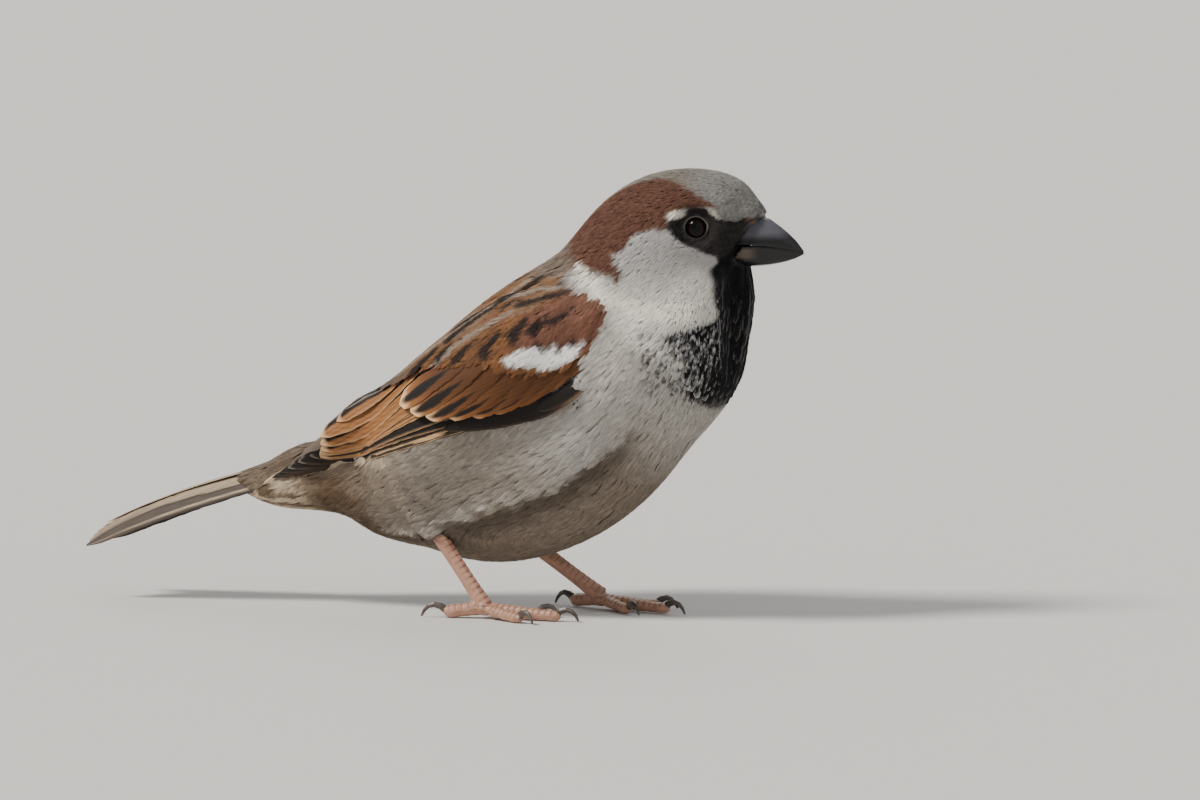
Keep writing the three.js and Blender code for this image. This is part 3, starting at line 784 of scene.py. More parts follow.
# ---------------------------------------------------------------- materials
class Look:
    """A material, with short ways to add and join the nodes that shade it."""

    def __init__(self, name, roughness, specular):
        self.material = bpy.data.materials.new(name)
        self.material.use_nodes = True
        self.nodes = self.material.node_tree.nodes
        self.shader = self.nodes["Principled BSDF"]
        self.feed(self.shader, {"Roughness": roughness, "Specular IOR Level": specular})

    def feed(self, node, inputs):
        """Gives a node's inputs their values, or joins them to other nodes' outputs."""
        for name, value in inputs.items():
            if isinstance(value, bpy.types.NodeSocket):
                self.material.node_tree.links.new(value, node.inputs[name])
            else:
                node.inputs[name].default_value = value

    def add(self, kind, inputs=(), **settings):
        node = self.nodes.new("ShaderNode" + kind)
        for key, value in settings.items():
            setattr(node, key, value)
        self.feed(node, dict(inputs))
        return node

    def maths(self, operation, *values):
        return self.add("Math", enumerate(values), operation=operation).outputs[0]

    def noise(self, scale, detail, vector):
        return self.add("TexNoise", {"Scale": scale, "Detail": detail, "Vector": vector}).outputs["Fac"]

    def grain(self, scale, detail, stretch):
        """Noise that keeps its place on the bird, drawn out along it where the stretch is under 1."""
        places = self.add("TexCoord").outputs["Object"]
        drawn = self.add("Mapping", {"Vector": places, "Scale": (stretch, 1.0, 1.0)})
        return self.noise(scale, detail, drawn.outputs[0])

    def painted(self):
        return self.add("Attribute", attribute_name=PAINT_LAYER).outputs["Color"]

    def shade(self, light):
        """The painted colours times a light, as the base colour."""
        inputs = {"Factor": 1.0, "A": self.painted(), "B": light}
        product = self.add("Mix", data_type="RGBA", blend_type="MULTIPLY")
        self.feed(product, inputs)
        self.feed(self.shader, {"Base Color": product.outputs["Result"]})

    def relief(self, height, strength, depth):
        """Small bumps, `depth` mm high."""
        bump = self.add("Bump", {"Strength": strength, "Distance": depth * MM, "Height": height})
        self.feed(self.shader, {"Normal": bump.outputs["Normal"]})


def feather_material(name, roughness, barb_angle, barbs_per_mm, streak, bump):
    """Painted plumage with barbs. The Vane map holds millimetres across and along each vane."""
    look = Look(name, roughness, 0.16)
    look.feed(look.shader, {"Sheen Weight": 0.03, "Sheen Roughness": 0.5})
    vane = look.add("UVMap", uv_map="Vane")
    split = look.add("SeparateXYZ", {0: vane.outputs["UV"]})
    angle = math.radians(barb_angle)
    out = look.maths("ABSOLUTE", split.outputs["X"])
    out = look.maths("MULTIPLY", out, math.cos(angle) * barbs_per_mm)
    back = look.maths("MULTIPLY", split.outputs["Y"], math.sin(angle) * barbs_per_mm)
    slanted = look.maths("SUBTRACT", out, back)
    drawn = look.maths("MULTIPLY", split.outputs["Y"], 0.35)
    barbs = look.noise(1.0, 2.0, look.add("CombineXYZ", {"X": slanted, "Y": drawn}).outputs[0])
    look.shade(look.maths("MULTIPLY_ADD", barbs, streak, 1 - streak / 2))
    look.relief(barbs, bump, 0.12)
    return look.material


def mottled_material(name, roughness, specular, scale, stretch, mottle, bump, depth):
    """A painted surface with soft grain in its light and its relief."""
    look = Look(name, roughness, specular)
    grain = look.grain(scale, 4, stretch)
    look.shade(look.maths("MULTIPLY_ADD", grain, mottle, 1 - mottle / 2))
    look.relief(grain, bump, depth)
    return look.material


def claw_material():
    """Dark horn with paler streaks along it."""
    look = Look("claw_horn", 0.34, 0.5)
    grain = look.grain(900, 5, 0.35)
    ramp = look.add("ValToRGB", {"Fac": grain})
    tones = (colour(52, 44, 40), colour(104, 92, 84))
    for stop, position, tone in zip(ramp.color_ramp.elements, (0.35, 0.75), tones):
        stop.position, stop.color = position, (*tone, 1)
    look.feed(look.shader, {"Base Color": ramp.outputs["Color"]})
    look.relief(grain, 0.25, 0.06)
    return look.material


def eye_material():
    look = Look("eye", 0.13, 0.14)
    look.feed(look.shader, {"Base Color": look.painted()})
    return look.material


def floor_material():
    look = Look("floor", 0.85, 0.5)
    look.feed(look.shader, {"Base Color": (0.62, 0.6, 0.57, 1)})
    return look.material


soft_feathers = feather_material(
    "soft_feathers", roughness=0.85, barb_angle=14, barbs_per_mm=5.0, streak=0.55, bump=0.5
)
vane_feathers = feather_material(
    "vane_feathers", roughness=0.6, barb_angle=24, barbs_per_mm=5.5, streak=0.4, bump=0.5
)

# ---------------------------------------------------------------- skin
LEG_PINK = colour(176, 132, 110)
LEG_BROWN = colour(112, 78, 62)
LEG_GROW, LEG_SHRINK = 0.2, 0.13  # swells the leg to close its joints, then takes most of it back
SCUTE, PAD = 1.15, 2.6  # the length of one scute of a leg, and of one pad under a toe
LID_GREY, LID_DARK = colour(96, 90, 84), colour(38, 35, 32)
LID_BEADS = 28
SKIN_SHADE = 0.92  # the down is a little darker than the tufts over it
set_points(form, form_points - form_normals * coat_depth(form_points)[:, None])
paint(form, markings(form_points) * SKIN_SHADE)


def leg_nodes(side_name):
    """The CAD nodes of one leg's bare parts."""
    return [f"tarsus_{side_name}", *(f"toe_{side_name}_{toe}" for toe in TOE_NAMES)]


def leg_skin(side_name):
    """The bare shank and toes, with scutes over the front and pads below."""
    leg = joined_copy(f"leg_{side_name}", leg_nodes(side_name), LEG_GROW)
    melted(leg, voxel=0.17, rounds=6)
    points, normals = points_of(leg), normals_of(leg)
    points -= normals * LEG_SHRINK
    height = points[:, 2]
    low, high = to_part(np.array(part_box(f"tarsus_{side_name}")))
    middle_y = (low[1] + high[1]) / 2
    ankle = np.array([low[0] + 1.4, middle_y, high[2]])
    foot = np.array([high[0] - 1.6, middle_y, 2.0])
    along = (points - ankle) @ unit(foot - ankle)
    from_foot = np.hypot(points[:, 0] - foot[0], points[:, 1] - foot[1])
    on_shank = smoothstep(2.0, 3.2, height)
    step = (np.where(on_shank > 0.5, along, from_foot) / SCUTE) % 1
    groove = np.exp(-((step - 0.5) ** 2) / 0.012)
    upper = smoothstep(-0.2, 0.5, normals[:, 2] * (1 - on_shank) + normals[:, 0] * on_shank)
    pads = 0.07 * np.sin(2 * np.pi * from_foot / PAD) * smoothstep(0.1, -0.5, normals[:, 2])
    relief = 0.05 * (1 - step) * upper - 0.09 * groove * upper + pads * (1 - on_shank)
    points += normals * relief[:, None]
    points[:, 2] = np.maximum(points[:, 2], 0)
    set_points(leg, points)
    tone = blend(LEG_PINK, LEG_BROWN, 0.9 * groove * upper)
    tone = blend(tone, LEG_BROWN, 0.5 * smoothstep(8, 15, height) + 0.25 * ripple(points, 2.5, 9))
    paint(leg, tone)
    return leg


EYE_SET = 1.3  # how far the middle of the ball is under the lids
LID_RADIUS, LID_HALF = 2.08, 0.19


def eye_frame(side_name):
    """The middle of an eye, and the ways forward, up and out of the face there."""
    mirror = np.array([1, SIDES[side_name], 1])
    outward = EYE_OUTWARD * mirror
    middle = EYE_MIDDLE * mirror + outward * (EYE_PLANE - EYE_SET)
    forward = unit(np.array([1, 0, 0]) - outward * outward[0])
    return middle, forward, np.cross(forward, outward) * -SIDES[side_name], outward


def eyelid(side_name):
    """A bare beaded ring that holds the eye, drawn out a little at its front corner."""
    middle, forward, up, outward = eye_frame(side_name)
    bpy.ops.object.select_all(action="DESELECT")
    bpy.ops.mesh.primitive_torus_add(
        major_segments=72, minor_segments=12, major_radius=LID_RADIUS * MM, minor_radius=LID_HALF * MM
    )
    ring = bpy.context.object
    ring.name = f"eyelid_{side_name}"
    across, above, out = (points_of(ring) + SHIFT).T
    turn = np.arctan2(above, across)
    beads = np.sin(LID_BEADS * turn)
    swell = 1 + 0.012 * beads + 0.05 * np.exp(-((turn + 0.25) ** 2) / 0.06)
    across, above = across * swell, above * swell * 0.95
    local = np.stack([across, above, out + EYE_SET + 0.05], -1)
    set_points(ring, middle + local @ np.stack([forward, up, outward]))
    paint(ring, blend(LID_GREY, LID_DARK, smoothstep(-0.6, 1.4, above) + 0.3 * beads))
    return ring


legs = [leg_skin(side_name) for side_name in SIDES]
choose(form, *legs, *(eyelid(side_name) for side_name in SIDES))
bpy.ops.object.join()
shade_smooth(form)
skin_look = mottled_material(
    "skin", roughness=0.42, specular=0.45, scale=900, stretch=1.0, mottle=0.5, bump=0.4, depth=0.08
)
finish_piece(form, skin_look, "leg_skin", *BODY_NODES, *leg_nodes("right"), *leg_nodes("left"))


# ---------------------------------------------------------------- tufts
def lie_of_coat(points, normals):
    """The way that the feathers point, along the surface."""
    from_bill = points - BILL_BASE
    near_bill = np.exp(-np.linalg.norm(from_bill, axis=-1) / 9)[..., None]
    place, turn = place_and_turn(points)
    turn = np.degrees(np.abs(turn))
    on_breast = smoothstep(38, 56, place) * smoothstep(50, 80, turn)
    on_wing = band(turn, 38, 54, 90, 100) * smoothstep(20, 40, place)
    on_bib = smoothstep(46, 54, points[:, 0]) * smoothstep(63, 57, points[:, 2])
    fall = (0.35 * np.maximum(on_breast, on_wing) + 0.9 * on_bib)[..., None]
    way = unit(from_bill) * near_bill - (FORWARD + fall * UPWARD) * (1 - near_bill)
    way = lerp(way, np.array([0.35, 0.0, -0.95]), on_thigh(points)[..., None])
    away, _ = from_eye_axis(points)
    from_eye = points - on_side_of(points, EYE_MIDDLE)
    from_eye = unit(from_eye - normals * (from_eye * normals).sum(-1, keepdims=True))
    near_eye = smoothstep(4.2, 2.3, away)[..., None]
    toward_eye = np.minimum(0, (way * from_eye).sum(-1, keepdims=True))
    way = way + from_eye * near_eye * (0.2 - toward_eye)
    way = way + 0.1 * LEFTWARD * ripple(points, 9, 11)[..., None]
    return unit(way - normals * (way * normals).sum(-1, keepdims=True))


FRAME_SHARES = np.array([0.0, 0.22, 0.45, 0.68, 0.86, 1.0])
WAYWARD = 0.07  # how far single tufts turn from the lie of the coat


def tuft_frames(ground, roots, normals, lengths, depths, lifts):
    """For each tuft, points, side vectors and normals along its length over the surface."""
    way = lie_of_coat(roots, normals)
    way = unit(way + np.cross(normals, way) * rng.normal(0, WAYWARD, len(roots))[:, None])
    centres, sides, ups = [], [], []
    at, normal = roots, normals
    last = 0
    for share in FRAME_SHARES:
        if share > 0:
            at, normal = ground.nearest(at + way * ((share - last) * lengths)[:, None])
            way = unit(way - normal * (way * normal).sum(-1, keepdims=True))
        last = share
        rise = min(1, share * 1.7) ** 0.8
        centres.append(at + normal * (lifts * share**2 - depths * (1 - rise))[:, None])
        sides.append(np.cross(way, normal))
        ups.append(normal)
    return np.stack(centres, 1), np.stack(sides, 1), np.stack(ups, 1)


def tube_faces(rings, size):
    """Triangles of a closed body of rings between a first and a last point."""
    faces = []
    end = 1 + rings * size
    for k in range(size):
        following = (k + 1) % size
        faces.append((0, 1 + following, 1 + k))
        for row in range(1, end - size, size):
            above = row + size
            faces.append((row + k, row + following, above + k))
            faces.append((row + following, above + following, above + k))
        faces.append((end - size + k, end - size + following, end))
    return np.array(faces)


LEAF_RING = np.array([(-1, 0), (0, -0.5), (1, 0), (0, 1)])
STRAND_RING = np.array([(-1, -0.3), (1, -0.3), (0, 0.9)])
SIDE_LEAN = 0.35  # how far the normals lean outward at the rims, so that tufts look soft


def swept(frames, ring, widths, thickness, sideways, raised, picked):
    """Closed bodies along the frames: picked frames are the first point, rings and last point."""
    centres, sides, ups = (part[:, picked] for part in frames)
    centres = centres + sides * sideways[..., None] + ups * raised[..., None]
    inner = slice(1, -1)
    across = ring[:, 0] * widths[:, inner, None]
    upright = ring[:, 1] * thickness[:, None, None] * np.ones_like(across)
    around = (
        centres[:, inner, None]
        + sides[:, inner, None] * across[..., None]
        + ups[:, inner, None] * upright[..., None]
    )
    around = around.reshape(len(centres), -1, 3)
    leaning = np.sign(ring[:, 0])[:, None] * SIDE_LEAN
    rounded = ups[:, inner, None] + sides[:, inner, None] * leaning
    rounded = np.where(ring[:, 1:] < -0.4, -rounded, rounded).reshape(len(centres), -1, 3)
    points = np.concatenate([centres[:, :1], around, centres[:, -1:]], axis=1)
    return points, np.concatenate([ups[:, :1], rounded, ups[:, -1:]], axis=1)


def vane_map(shares, ring, widths, lengths, offset):
    """Millimetres across and along each body, moved apart so that no two look alike."""
    inner = slice(1, -1)
    count, size = len(widths), len(ring)
    across = ring[:, 0] * widths[:, inner, None]
    along = shares[inner][None, :, None] * lengths[:, None, None] * np.ones(size)
    middle = np.stack([across, along], -1).reshape(count, -1, 2)
    first = np.zeros((count, 1, 2))
    last = np.stack([np.zeros(count), lengths], -1)[:, None]
    moved = np.stack([np.zeros(count), offset], -1)[:, None]
    return np.concatenate([first, middle, last], 1) + moved


BAKE_PATCH = 0.003  # the size of one tuft in the map for baking
BAKE_FROM, BAKE_LENGTH = -45, 140  # the stretch along the body that the map covers


def bake_map(roots, local):
    """Each tuft's patch at its root's place on the body's unwrap by place and turn."""
    place, turn = place_and_turn(roots)
    u = 0.5 + turn / (2 * np.pi) * 0.96
    v = 0.02 + 0.96 * np.clip((place - BAKE_FROM) / BAKE_LENGTH, 0, 1)
    spread = np.maximum(np.ptp(local, axis=1, keepdims=True), 1e-6)
    centred = (local - local.min(axis=1, keepdims=True)) / spread - 0.5
    return np.stack([u, v], -1)[:, None] + centred * BAKE_PATCH


class Plumage:
    """Gathers the bodies of one piece of plumage, then makes its mesh."""

    def __init__(self, atlas_rows=8):
        self.atlas_rows = atlas_rows  # large feathers to each row and column of the map for baking
        self.points, self.normals, self.faces = [], [], []
        self.colours, self.vanes, self.bakes = [], [], []
        self.total = 0

    def add(self, points, normals, faces, colours, vanes, bakes):
        first = points[0][faces]
        volume = np.einsum("ij,ij->i", first[:, 0], np.cross(first[:, 1], first[:, 2])).sum()
        faces = faces if volume > 0 else faces[:, ::-1]
        count, size = points.shape[:2]
        offsets = self.total + np.arange(count)[:, None, None] * size
        self.faces.append((faces[None] + offsets).reshape(-1, 3))
        self.points.append(points.reshape(-1, 3))
        self.normals.append(unit(normals.reshape(-1, 3)))
        self.colours.append(colours.reshape(-1, 3))
        self.vanes.append(vanes.reshape(-1, 2))
        self.bakes.append(bakes.reshape(-1, 2))
        self.total += count * size

    def make(self, name, slot, material, *replaced):
        points, faces = np.concatenate(self.points), np.concatenate(self.faces)
        colours, normals = np.concatenate(self.colours), np.concatenate(self.normals)
        maps = {"OFBake": np.concatenate(self.bakes), "Vane": np.concatenate(self.vanes)}
        piece = mesh_piece(name, points, faces, colours, maps, normals)
        finish_piece(piece, material, slot, *replaced)


# Tufts are a leaf with strands over it: their widths and lightness from root to tip.
LEAF_THICK = 0.03
LEAF_SHAPE = np.array([0, 0.7, 1.0, 0.86, 0.46, 0])
LEAF_SHADES = np.array([0.9, 0.94, 0.97, 1.0, 1.0, 1.02])
LONG_LEAF, SHORT_LEAF = np.arange(6), np.array([0, 2, 4, 5])  # which frames a leaf passes through
STRAND_PICKS = np.array([1, 2, 5])
STRAND_SHAPE = np.array([0, 1.0, 0])
STRAND_SHADES = np.array([0.93, 0.99, 1.06])
PAINTED_FRAMES = [1, 2, 3, 5]  # where along a tuft the painter is asked for colours
NEAREST_PAINTED = [0, 0, 1, 2, 2, 3]  # which of those each frame takes


def body_rows(picked, ring):
    """Which frame each point of a body belongs to."""
    return np.concatenate([picked[:1], np.repeat(picked[1:-1], len(ring)), picked[-1:]])


def tuft_triangles(leaf, strands):
    """How many triangles one tuft has."""
    return len(tube_faces(len(leaf) - 2, len(LEAF_RING))) + strands * len(tube_faces(1, len(STRAND_RING)))


def add_strands(plumage, frames, roots, length, half, offset, tones, strands):
    """Loose barbs over each vane, fanned out across it."""
    count = len(roots)
    shares = FRAME_SHARES[STRAND_PICKS]
    rows = body_rows(np.arange(len(STRAND_PICKS)), STRAND_RING)
    faces = tube_faces(1, len(STRAND_RING))
    for k in range(strands):
        spread = (k + 0.5) / strands * 2 - 1 + rng.uniform(-0.35, 0.35, count)
        start = spread * half * 0.8
        end = spread * half * rng.uniform(0.8, 1.35, count)
        sideways = start[:, None] + (end - start)[:, None] * shares**1.5
        raised = 0.04 + rng.uniform(0.0, 0.13, count)[:, None] * shares**2
        strand_half = np.clip(half * 0.12, 0.026, 0.055) * rng.uniform(0.75, 1.25, count)
        widths = strand_half[:, None] * STRAND_SHAPE
        body, facing = swept(
            frames, STRAND_RING, widths, strand_half * 0.6, sideways, raised, STRAND_PICKS
        )
        vanes = vane_map(shares, STRAND_RING, widths, length, offset + 7 * k)
        light = rng.normal(1.02, 0.19, count).clip(0.55, 1.5)[:, None, None]
        shades = (tones[:, STRAND_PICKS] * STRAND_SHADES[None, :, None] * light)[:, rows]
        plumage.add(body, facing, faces, shades, vanes, bake_map(roots, vanes))


def grow_tufts(plumage, ground, roots, normals, sizes, depths, painter, strands, leaf=LONG_LEAF):
    """Adds a vane with some loose barbs over it at each root."""
    count = len(roots)
    length, half = sizes
    length = length * rng.uniform(0.8, 1.2, count)
    half = half * rng.uniform(0.85, 1.2, count)
    lifts = rng.uniform(0.0, 0.07, count) * np.clip(length / 3, 0.3, 1) + loose_lift(roots)
    frames = tuft_frames(ground, roots, normals, length, depths, lifts)
    offset = rng.uniform(0, 90, count)
    light = rng.normal(1, 0.04, count).clip(0.88, 1.15)[:, None, None]
    tones = painter(frames[0][:, PAINTED_FRAMES])[:, NEAREST_PAINTED] * light

    widths = half[:, None] * LEAF_SHAPE[leaf]
    flat = np.zeros((count, len(leaf)))
    thickness = np.full(count, LEAF_THICK)
    body, facing = swept(frames, LEAF_RING, widths, thickness, flat, flat, leaf)
    vanes = vane_map(FRAME_SHARES[leaf], LEAF_RING, widths, length, offset)
    shades = (tones * LEAF_SHADES[None, :, None])[:, body_rows(leaf, LEAF_RING)]
    faces = tube_faces(len(leaf) - 2, len(LEAF_RING))
    plumage.add(body, facing, faces, shades, vanes, bake_map(roots, vanes))
    add_strands(plumage, frames, roots, length, half, offset, tones, strands)


def loose_lift(points):
    """How far tips stand out of the coat along the flank's loose edge."""
    edge = over_flank_edge(points)
    place = points @ FORWARD
    near = band(edge, -0.2, 0.6, 2.0, 5.0)
    return 0.3 * near * band(place, -2, 6, 46, 56)


def tuft_sizes(points):
    """Length and half width of the tufts, smallest on the face and longest at the rear."""
    place, head, face = points @ FORWARD, on_head(points), faceness(points)
    length = lerp(lerp(4.2, 2.2, head), 0.85, face)
    half = lerp(lerp(0.5, 0.31, head), 0.15, face)
    length = lerp(length, 5.8, smoothstep(2, -14, place))
    on_back = band(place, 16, 22, 50, 60) * smoothstep(36, 28, points[:, 1] ** 2)
    length, half = lerp(length, 2.8, on_back), lerp(half, 0.4, on_back)
    thigh = on_thigh(points)
    return lerp(length, 2.2, thigh), lerp(half, 0.4, thigh)


def hidden_by_wing(points):
    """Which roots are under the folded wings, where nothing has to grow."""
    place, turn = place_and_turn(points)
    inside = inside_outline(place, np.degrees(np.abs(turn)) * DEGREE_MM, WING_OUTLINE)
    low = np.degrees(np.abs(turn)) < 84
    most = lerp(2.2, 0.1, smoothstep(46, 52, place))
    return (inside > most) & low & (place > -6)


def around_eye(points):
    """Which roots are inside the bare ring of the eye."""
    away, out = from_eye_axis(points)
    return (away < LID_RADIUS + 0.04) & (out > EYE_INNERMOST)


def inside_bill(points):
    """Which roots are where the horn of the bill is."""
    x, y, z = points.T
    return (x > bill_base(z) - 0.6) & (np.abs(y) < 3.5) & (z > 64) & (z < 73.2)


def draped(points, normals):
    """The body with the front of the folded wings under the coat, so the breast laps over them."""
    place, turn = place_and_turn(points)
    turn = np.abs(turn)
    front = smoothstep(45, 51, place) * smoothstep(97, 86, np.degrees(turn))
    return points + normals * (front * wing_height(place, turn))[:, None]


TUFT_COVER = 3.2  # how many tufts deep the coat lies
LEAF_FILL = 0.7  # how much of its length times its width a leaf covers
MOST_TRIANGLES = 190000


def tuft_density(length, half):
    """Tufts to a square millimetre that cover it TUFT_COVER deep."""
    return TUFT_COVER / (length * half * 2 * LEAF_FILL)


coat_ground = Ground(draped(form_points, form_normals), form_faces)
COAT_ROOTS, COAT_NORMALS = coat_ground.scatter(lambda points: tuft_density(*tuft_sizes(points)))
grown = ~(hidden_by_wing(COAT_ROOTS) | around_eye(COAT_ROOTS) | inside_bill(COAT_ROOTS))
COAT_ROOTS, COAT_NORMALS = COAT_ROOTS[grown], COAT_NORMALS[grown]


def grow_coat(name, low, high, strands, leaf, slot):
    """The coat of one stretch of the body, in pieces of bounded size."""
    place = COAT_ROOTS @ FORWARD
    order = np.argsort(place)
    order = order[(place[order] >= low) & (place[order] < high)]
    most = MOST_TRIANGLES // tuft_triangles(leaf, strands)
    pieces = np.array_split(order, math.ceil(len(order) / most))
    for number, part in enumerate(pieces):
        plumage = Plumage()
        roots = COAT_ROOTS[part]
        sizes, depths = tuft_sizes(roots), coat_depth(roots)
        grow_tufts(plumage, coat_ground, roots, COAT_NORMALS[part], sizes, depths, markings, strands, leaf)
        plumage.make(f"{name}_{number + 1}", slot, soft_feathers)


grow_coat("coat_body", -60, 50, 7, LONG_LEAF, "body_plumage")
grow_coat("coat_neck", 50, 64, 7, LONG_LEAF, "neck_plumage")
grow_coat("coat_head", 64, 100, 5, SHORT_LEAF, "head_plumage")


# ---------------------------------------------------------------- large feathers
def vane_faces(stations, columns):
    """Triangles of a thin closed body: rings of a top row and a returning bottom row."""
    size = 2 * columns
    rows, ks = np.meshgrid(np.arange(stations - 1), np.arange(size), indexing="ij")
    here, beside = rows * size + ks, rows * size + (ks + 1) % size
    first = np.stack([here, beside, here + size], -1)
    second = np.stack([beside, beside + size, here + size], -1)
    faces = [first.reshape(-1, 3), second.reshape(-1, 3)]
    for base, turned in ((0, 1), ((stations - 1) * size, -1)):
        j = np.arange(columns - 1)
        top, after, below, back = base + j, base + j + 1, base + size - 2 - j, base + size - 1 - j
        caps = np.stack([np.stack([top, below, after], -1), np.stack([top, back, below], -1)])
        faces.append(caps.reshape(-1, 3)[:, ::turned])
    return np.concatenate(faces)


# How wide a large feather is at each share of its length.
COVERT_OUTLINE = profile((0, 0.55), (0.25, 0.85), (0.6, 1), (0.85, 0.95), (0.95, 0.68), (1, 0.16))
FLIGHT_OUTLINE = profile((0, 0.7), (0.3, 0.95), (0.6, 1), (0.85, 0.75), (0.95, 0.48), (1, 0.1))
VANE_THICK = 0.07
VANE_ARCH = 17  # the radius that a vane bends to across its width
SHAFT_HIGH, SHAFT_HALF = 0.1, 0.16
FRAYED = 0.025  # how unevenly the rims end, as a share of the width
UNDERSIDE = 0.6  # how light the underside is beside the top
VANE_APART = 9.7  # moves each vane to a stretch of its own in the noise of the barbs
CELL_HALF, CELL_LONG, CELL_EDGE = 0.23, 0.9, 0.02  # a vane in its cell of the map for baking


def both_faces(top, bottom):
    """Rows of a vane's top with the returning rows of its underside, for one body."""
    return np.concatenate([top, bottom[:, ::-1]], axis=1).reshape(1, -1, top.shape[-1])


def add_vane(plumage, number, centres, sides, ups, halves, tilt, painter, columns=13):
    """One large feather from its middle line. `painter` colours it by share along and across."""
    stations = len(centres)
    share = np.linspace(0, 1, stations)[:, None] * np.ones(columns)
    t = np.linspace(-1, 1, columns)[None] * np.ones((stations, 1))
    lengths = np.concatenate([[0], np.cumsum(np.linalg.norm(np.diff(centres, axis=0), axis=1))])
    frayed = 1 + rng.normal(0, FRAYED, (stations, 1)) * (np.abs(t) > 0.9)
    across = t * halves[:, None] * frayed
    shaft = SHAFT_HIGH * np.exp(-((across / SHAFT_HALF) ** 2)) * (1 - share)
    height = -(across**2) / (2 * VANE_ARCH) + shaft + tilt * t
    top = centres[:, None] + sides[:, None] * across[..., None] + ups[:, None] * height[..., None]
    facing = unit(ups[:, None] + sides[:, None] * (across / VANE_ARCH - tilt / 2 + 0.1 * t)[..., None])
    tones = painter(share, t, across, lengths[:, None] * np.ones_like(t))
    vane = np.stack([across, lengths[:, None] + number * VANE_APART + 0 * across], -1)
    cell = np.array(divmod(number, plumage.atlas_rows)) / plumage.atlas_rows
    bake = np.stack([(t + 1) * CELL_HALF, share * CELL_LONG], -1)
    under = bake + [0.5, 0]
    plumage.add(
        both_faces(top, top - ups[:, None] * VANE_THICK),
        both_faces(facing, -facing),
        vane_faces(stations, columns),
        both_faces(tones, tones * UNDERSIDE),
        both_faces(vane, vane),
        (both_faces(bake, under) + CELL_EDGE) / plumage.atlas_rows + cell,
    )


def lay_feather(plumage, number, side, root, tip, bow, half, outline, height, painter, grid=(30, 13)):
    """A feather from (place, turn) to (place, turn), at heights by place, turn and share."""
    stations, columns = grid
    share = np.linspace(0, 1, stations)
    place = lerp(root[0], tip[0], share)
    turn = np.radians(lerp(root[1], tip[1], share) + bow * 4 * share * (1 - share))

    def at(turn_there):
        return over_surface(place, side * turn_there, height(place, turn_there, share))

    centres = at(turn)
    along = unit(np.gradient(centres, axis=0))
    sides = at(turn + 0.04) - at(turn - 0.04)
    sides = unit(sides - along * (sides * along).sum(-1, keepdims=True))
    ups = np.cross(along, sides) * -side
    add_vane(plumage, number, centres, sides, ups, half * outline(share), 0.1, painter, columns)


def under_wing_top(root_sunk, tip_sunk):
    """Heights for a wing feather that starts and ends so far below the wing's top."""
    return lambda place, turn, share: wing_height(place, turn) - lerp(root_sunk, tip_sunk, share)


def primary_height(number):
    """Primaries run deep under the other feathers and come out at the wing's tip."""

    def height(place, turn, share):
        shown = smoothstep(-2.5, -6.5, place)
        return wing_height(place, turn) - lerp(1.95 + 0.03 * number, 0.5 + 0.09 * number, shown)

    return height


def barred(tone, across, along):
    """Fine light and dark lines that slant as barbs do."""
    return tone * (0.94 + 0.12 * np.sin(along * 5 - np.abs(across) * 6))[..., None]


def oval(share, t, middle, centre, half_long, half_wide):
    """1 inside an oval on a vane, falling to 0 outside it."""
    away = np.hypot((share - middle) / half_long, (t - centre) / half_wide)
    return 1 - smoothstep(0.8, 1.15, away)


def covert_painter(lens_long, lens_wide, lens_at):
    """Rusty webs, a buff tip and a black lens whose sizes are in millimetres."""

    def painter(share, t, across, along):
        long = along[-1, 0]
        tone = blend(COVERT_INNER, COVERT_OUTER, smoothstep(0.35, 0.9, share))
        tone = tone * (0.94 + 0.12 * np.sin(across * 9 + along * 2))[..., None]
        pale = min(1, 0.9 * lens_wide)
        tone = blend(tone, TERTIAL_RUSTY, 0.6 * pale * smoothstep(0.62, 0.9, share))
        at_tip = smoothstep(0.86, 0.99, share + 0.03 * t**2 + 0.02 * np.sin(5 * across))
        tone = blend(tone, BUFF_EDGE * 1.35, pale * at_tip)
        # Painted shadow between coverts: a faint dark line along each covert's outer rim, towards the root.
        tone = blend(tone, FEATHER_BLACK, 0.2 * smoothstep(0.8, 0.97, t) * smoothstep(0.75, 0.4, share))
        if lens_long:
            middle = 1 - (lens_long / 2 + 1.9) / long
            width = lens_wide / np.maximum(np.ptp(across, axis=1)[:, None] / 2, 0.5)
            narrow = lerp(0.3, 1.0, smoothstep(middle - 0.32, middle + 0.12, share))
            lens = oval(share, t, middle, lens_at, lens_long / 2 / long * 1.3, width * narrow)
            tone = blend(tone, FEATHER_BLACK, lens)
        return tone

    return painter


def flight_painter(edge, edge_from, edge_to, tip_pale, inner_pale=0.0):
    """Black webs with a coloured outer edge, a pale tip and, on tertials, a pale inner edge."""

    def painter(share, t, across, along):
        border = lerp(edge_from, edge_to, smoothstep(0.35, 0.85, share)) + 0.04 * np.sin(along * 1.7)
        lines = smoothstep(0.2, 0.95, np.sin(across * 7.5 + 1.2 * np.sin(along * 0.35)))
        tone = blend(FEATHER_BLACK, edge * (1 - 0.38 * lines)[..., None], smoothstep(0, 0.14, t - border))
        tone = blend(tone, BUFF_EDGE, smoothstep(0.7, 1.0, t) * 0.4)
        tone = blend(tone, FRINGE_GREY * 1.2, inner_pale * smoothstep(-0.84, -0.96, t))
        tone = blend(tone, BUFF_EDGE * 1.1, tip_pale * smoothstep(0.955, 0.99, share + 0.03 * t**2))
        return barred(tone, across, along)

    return painter


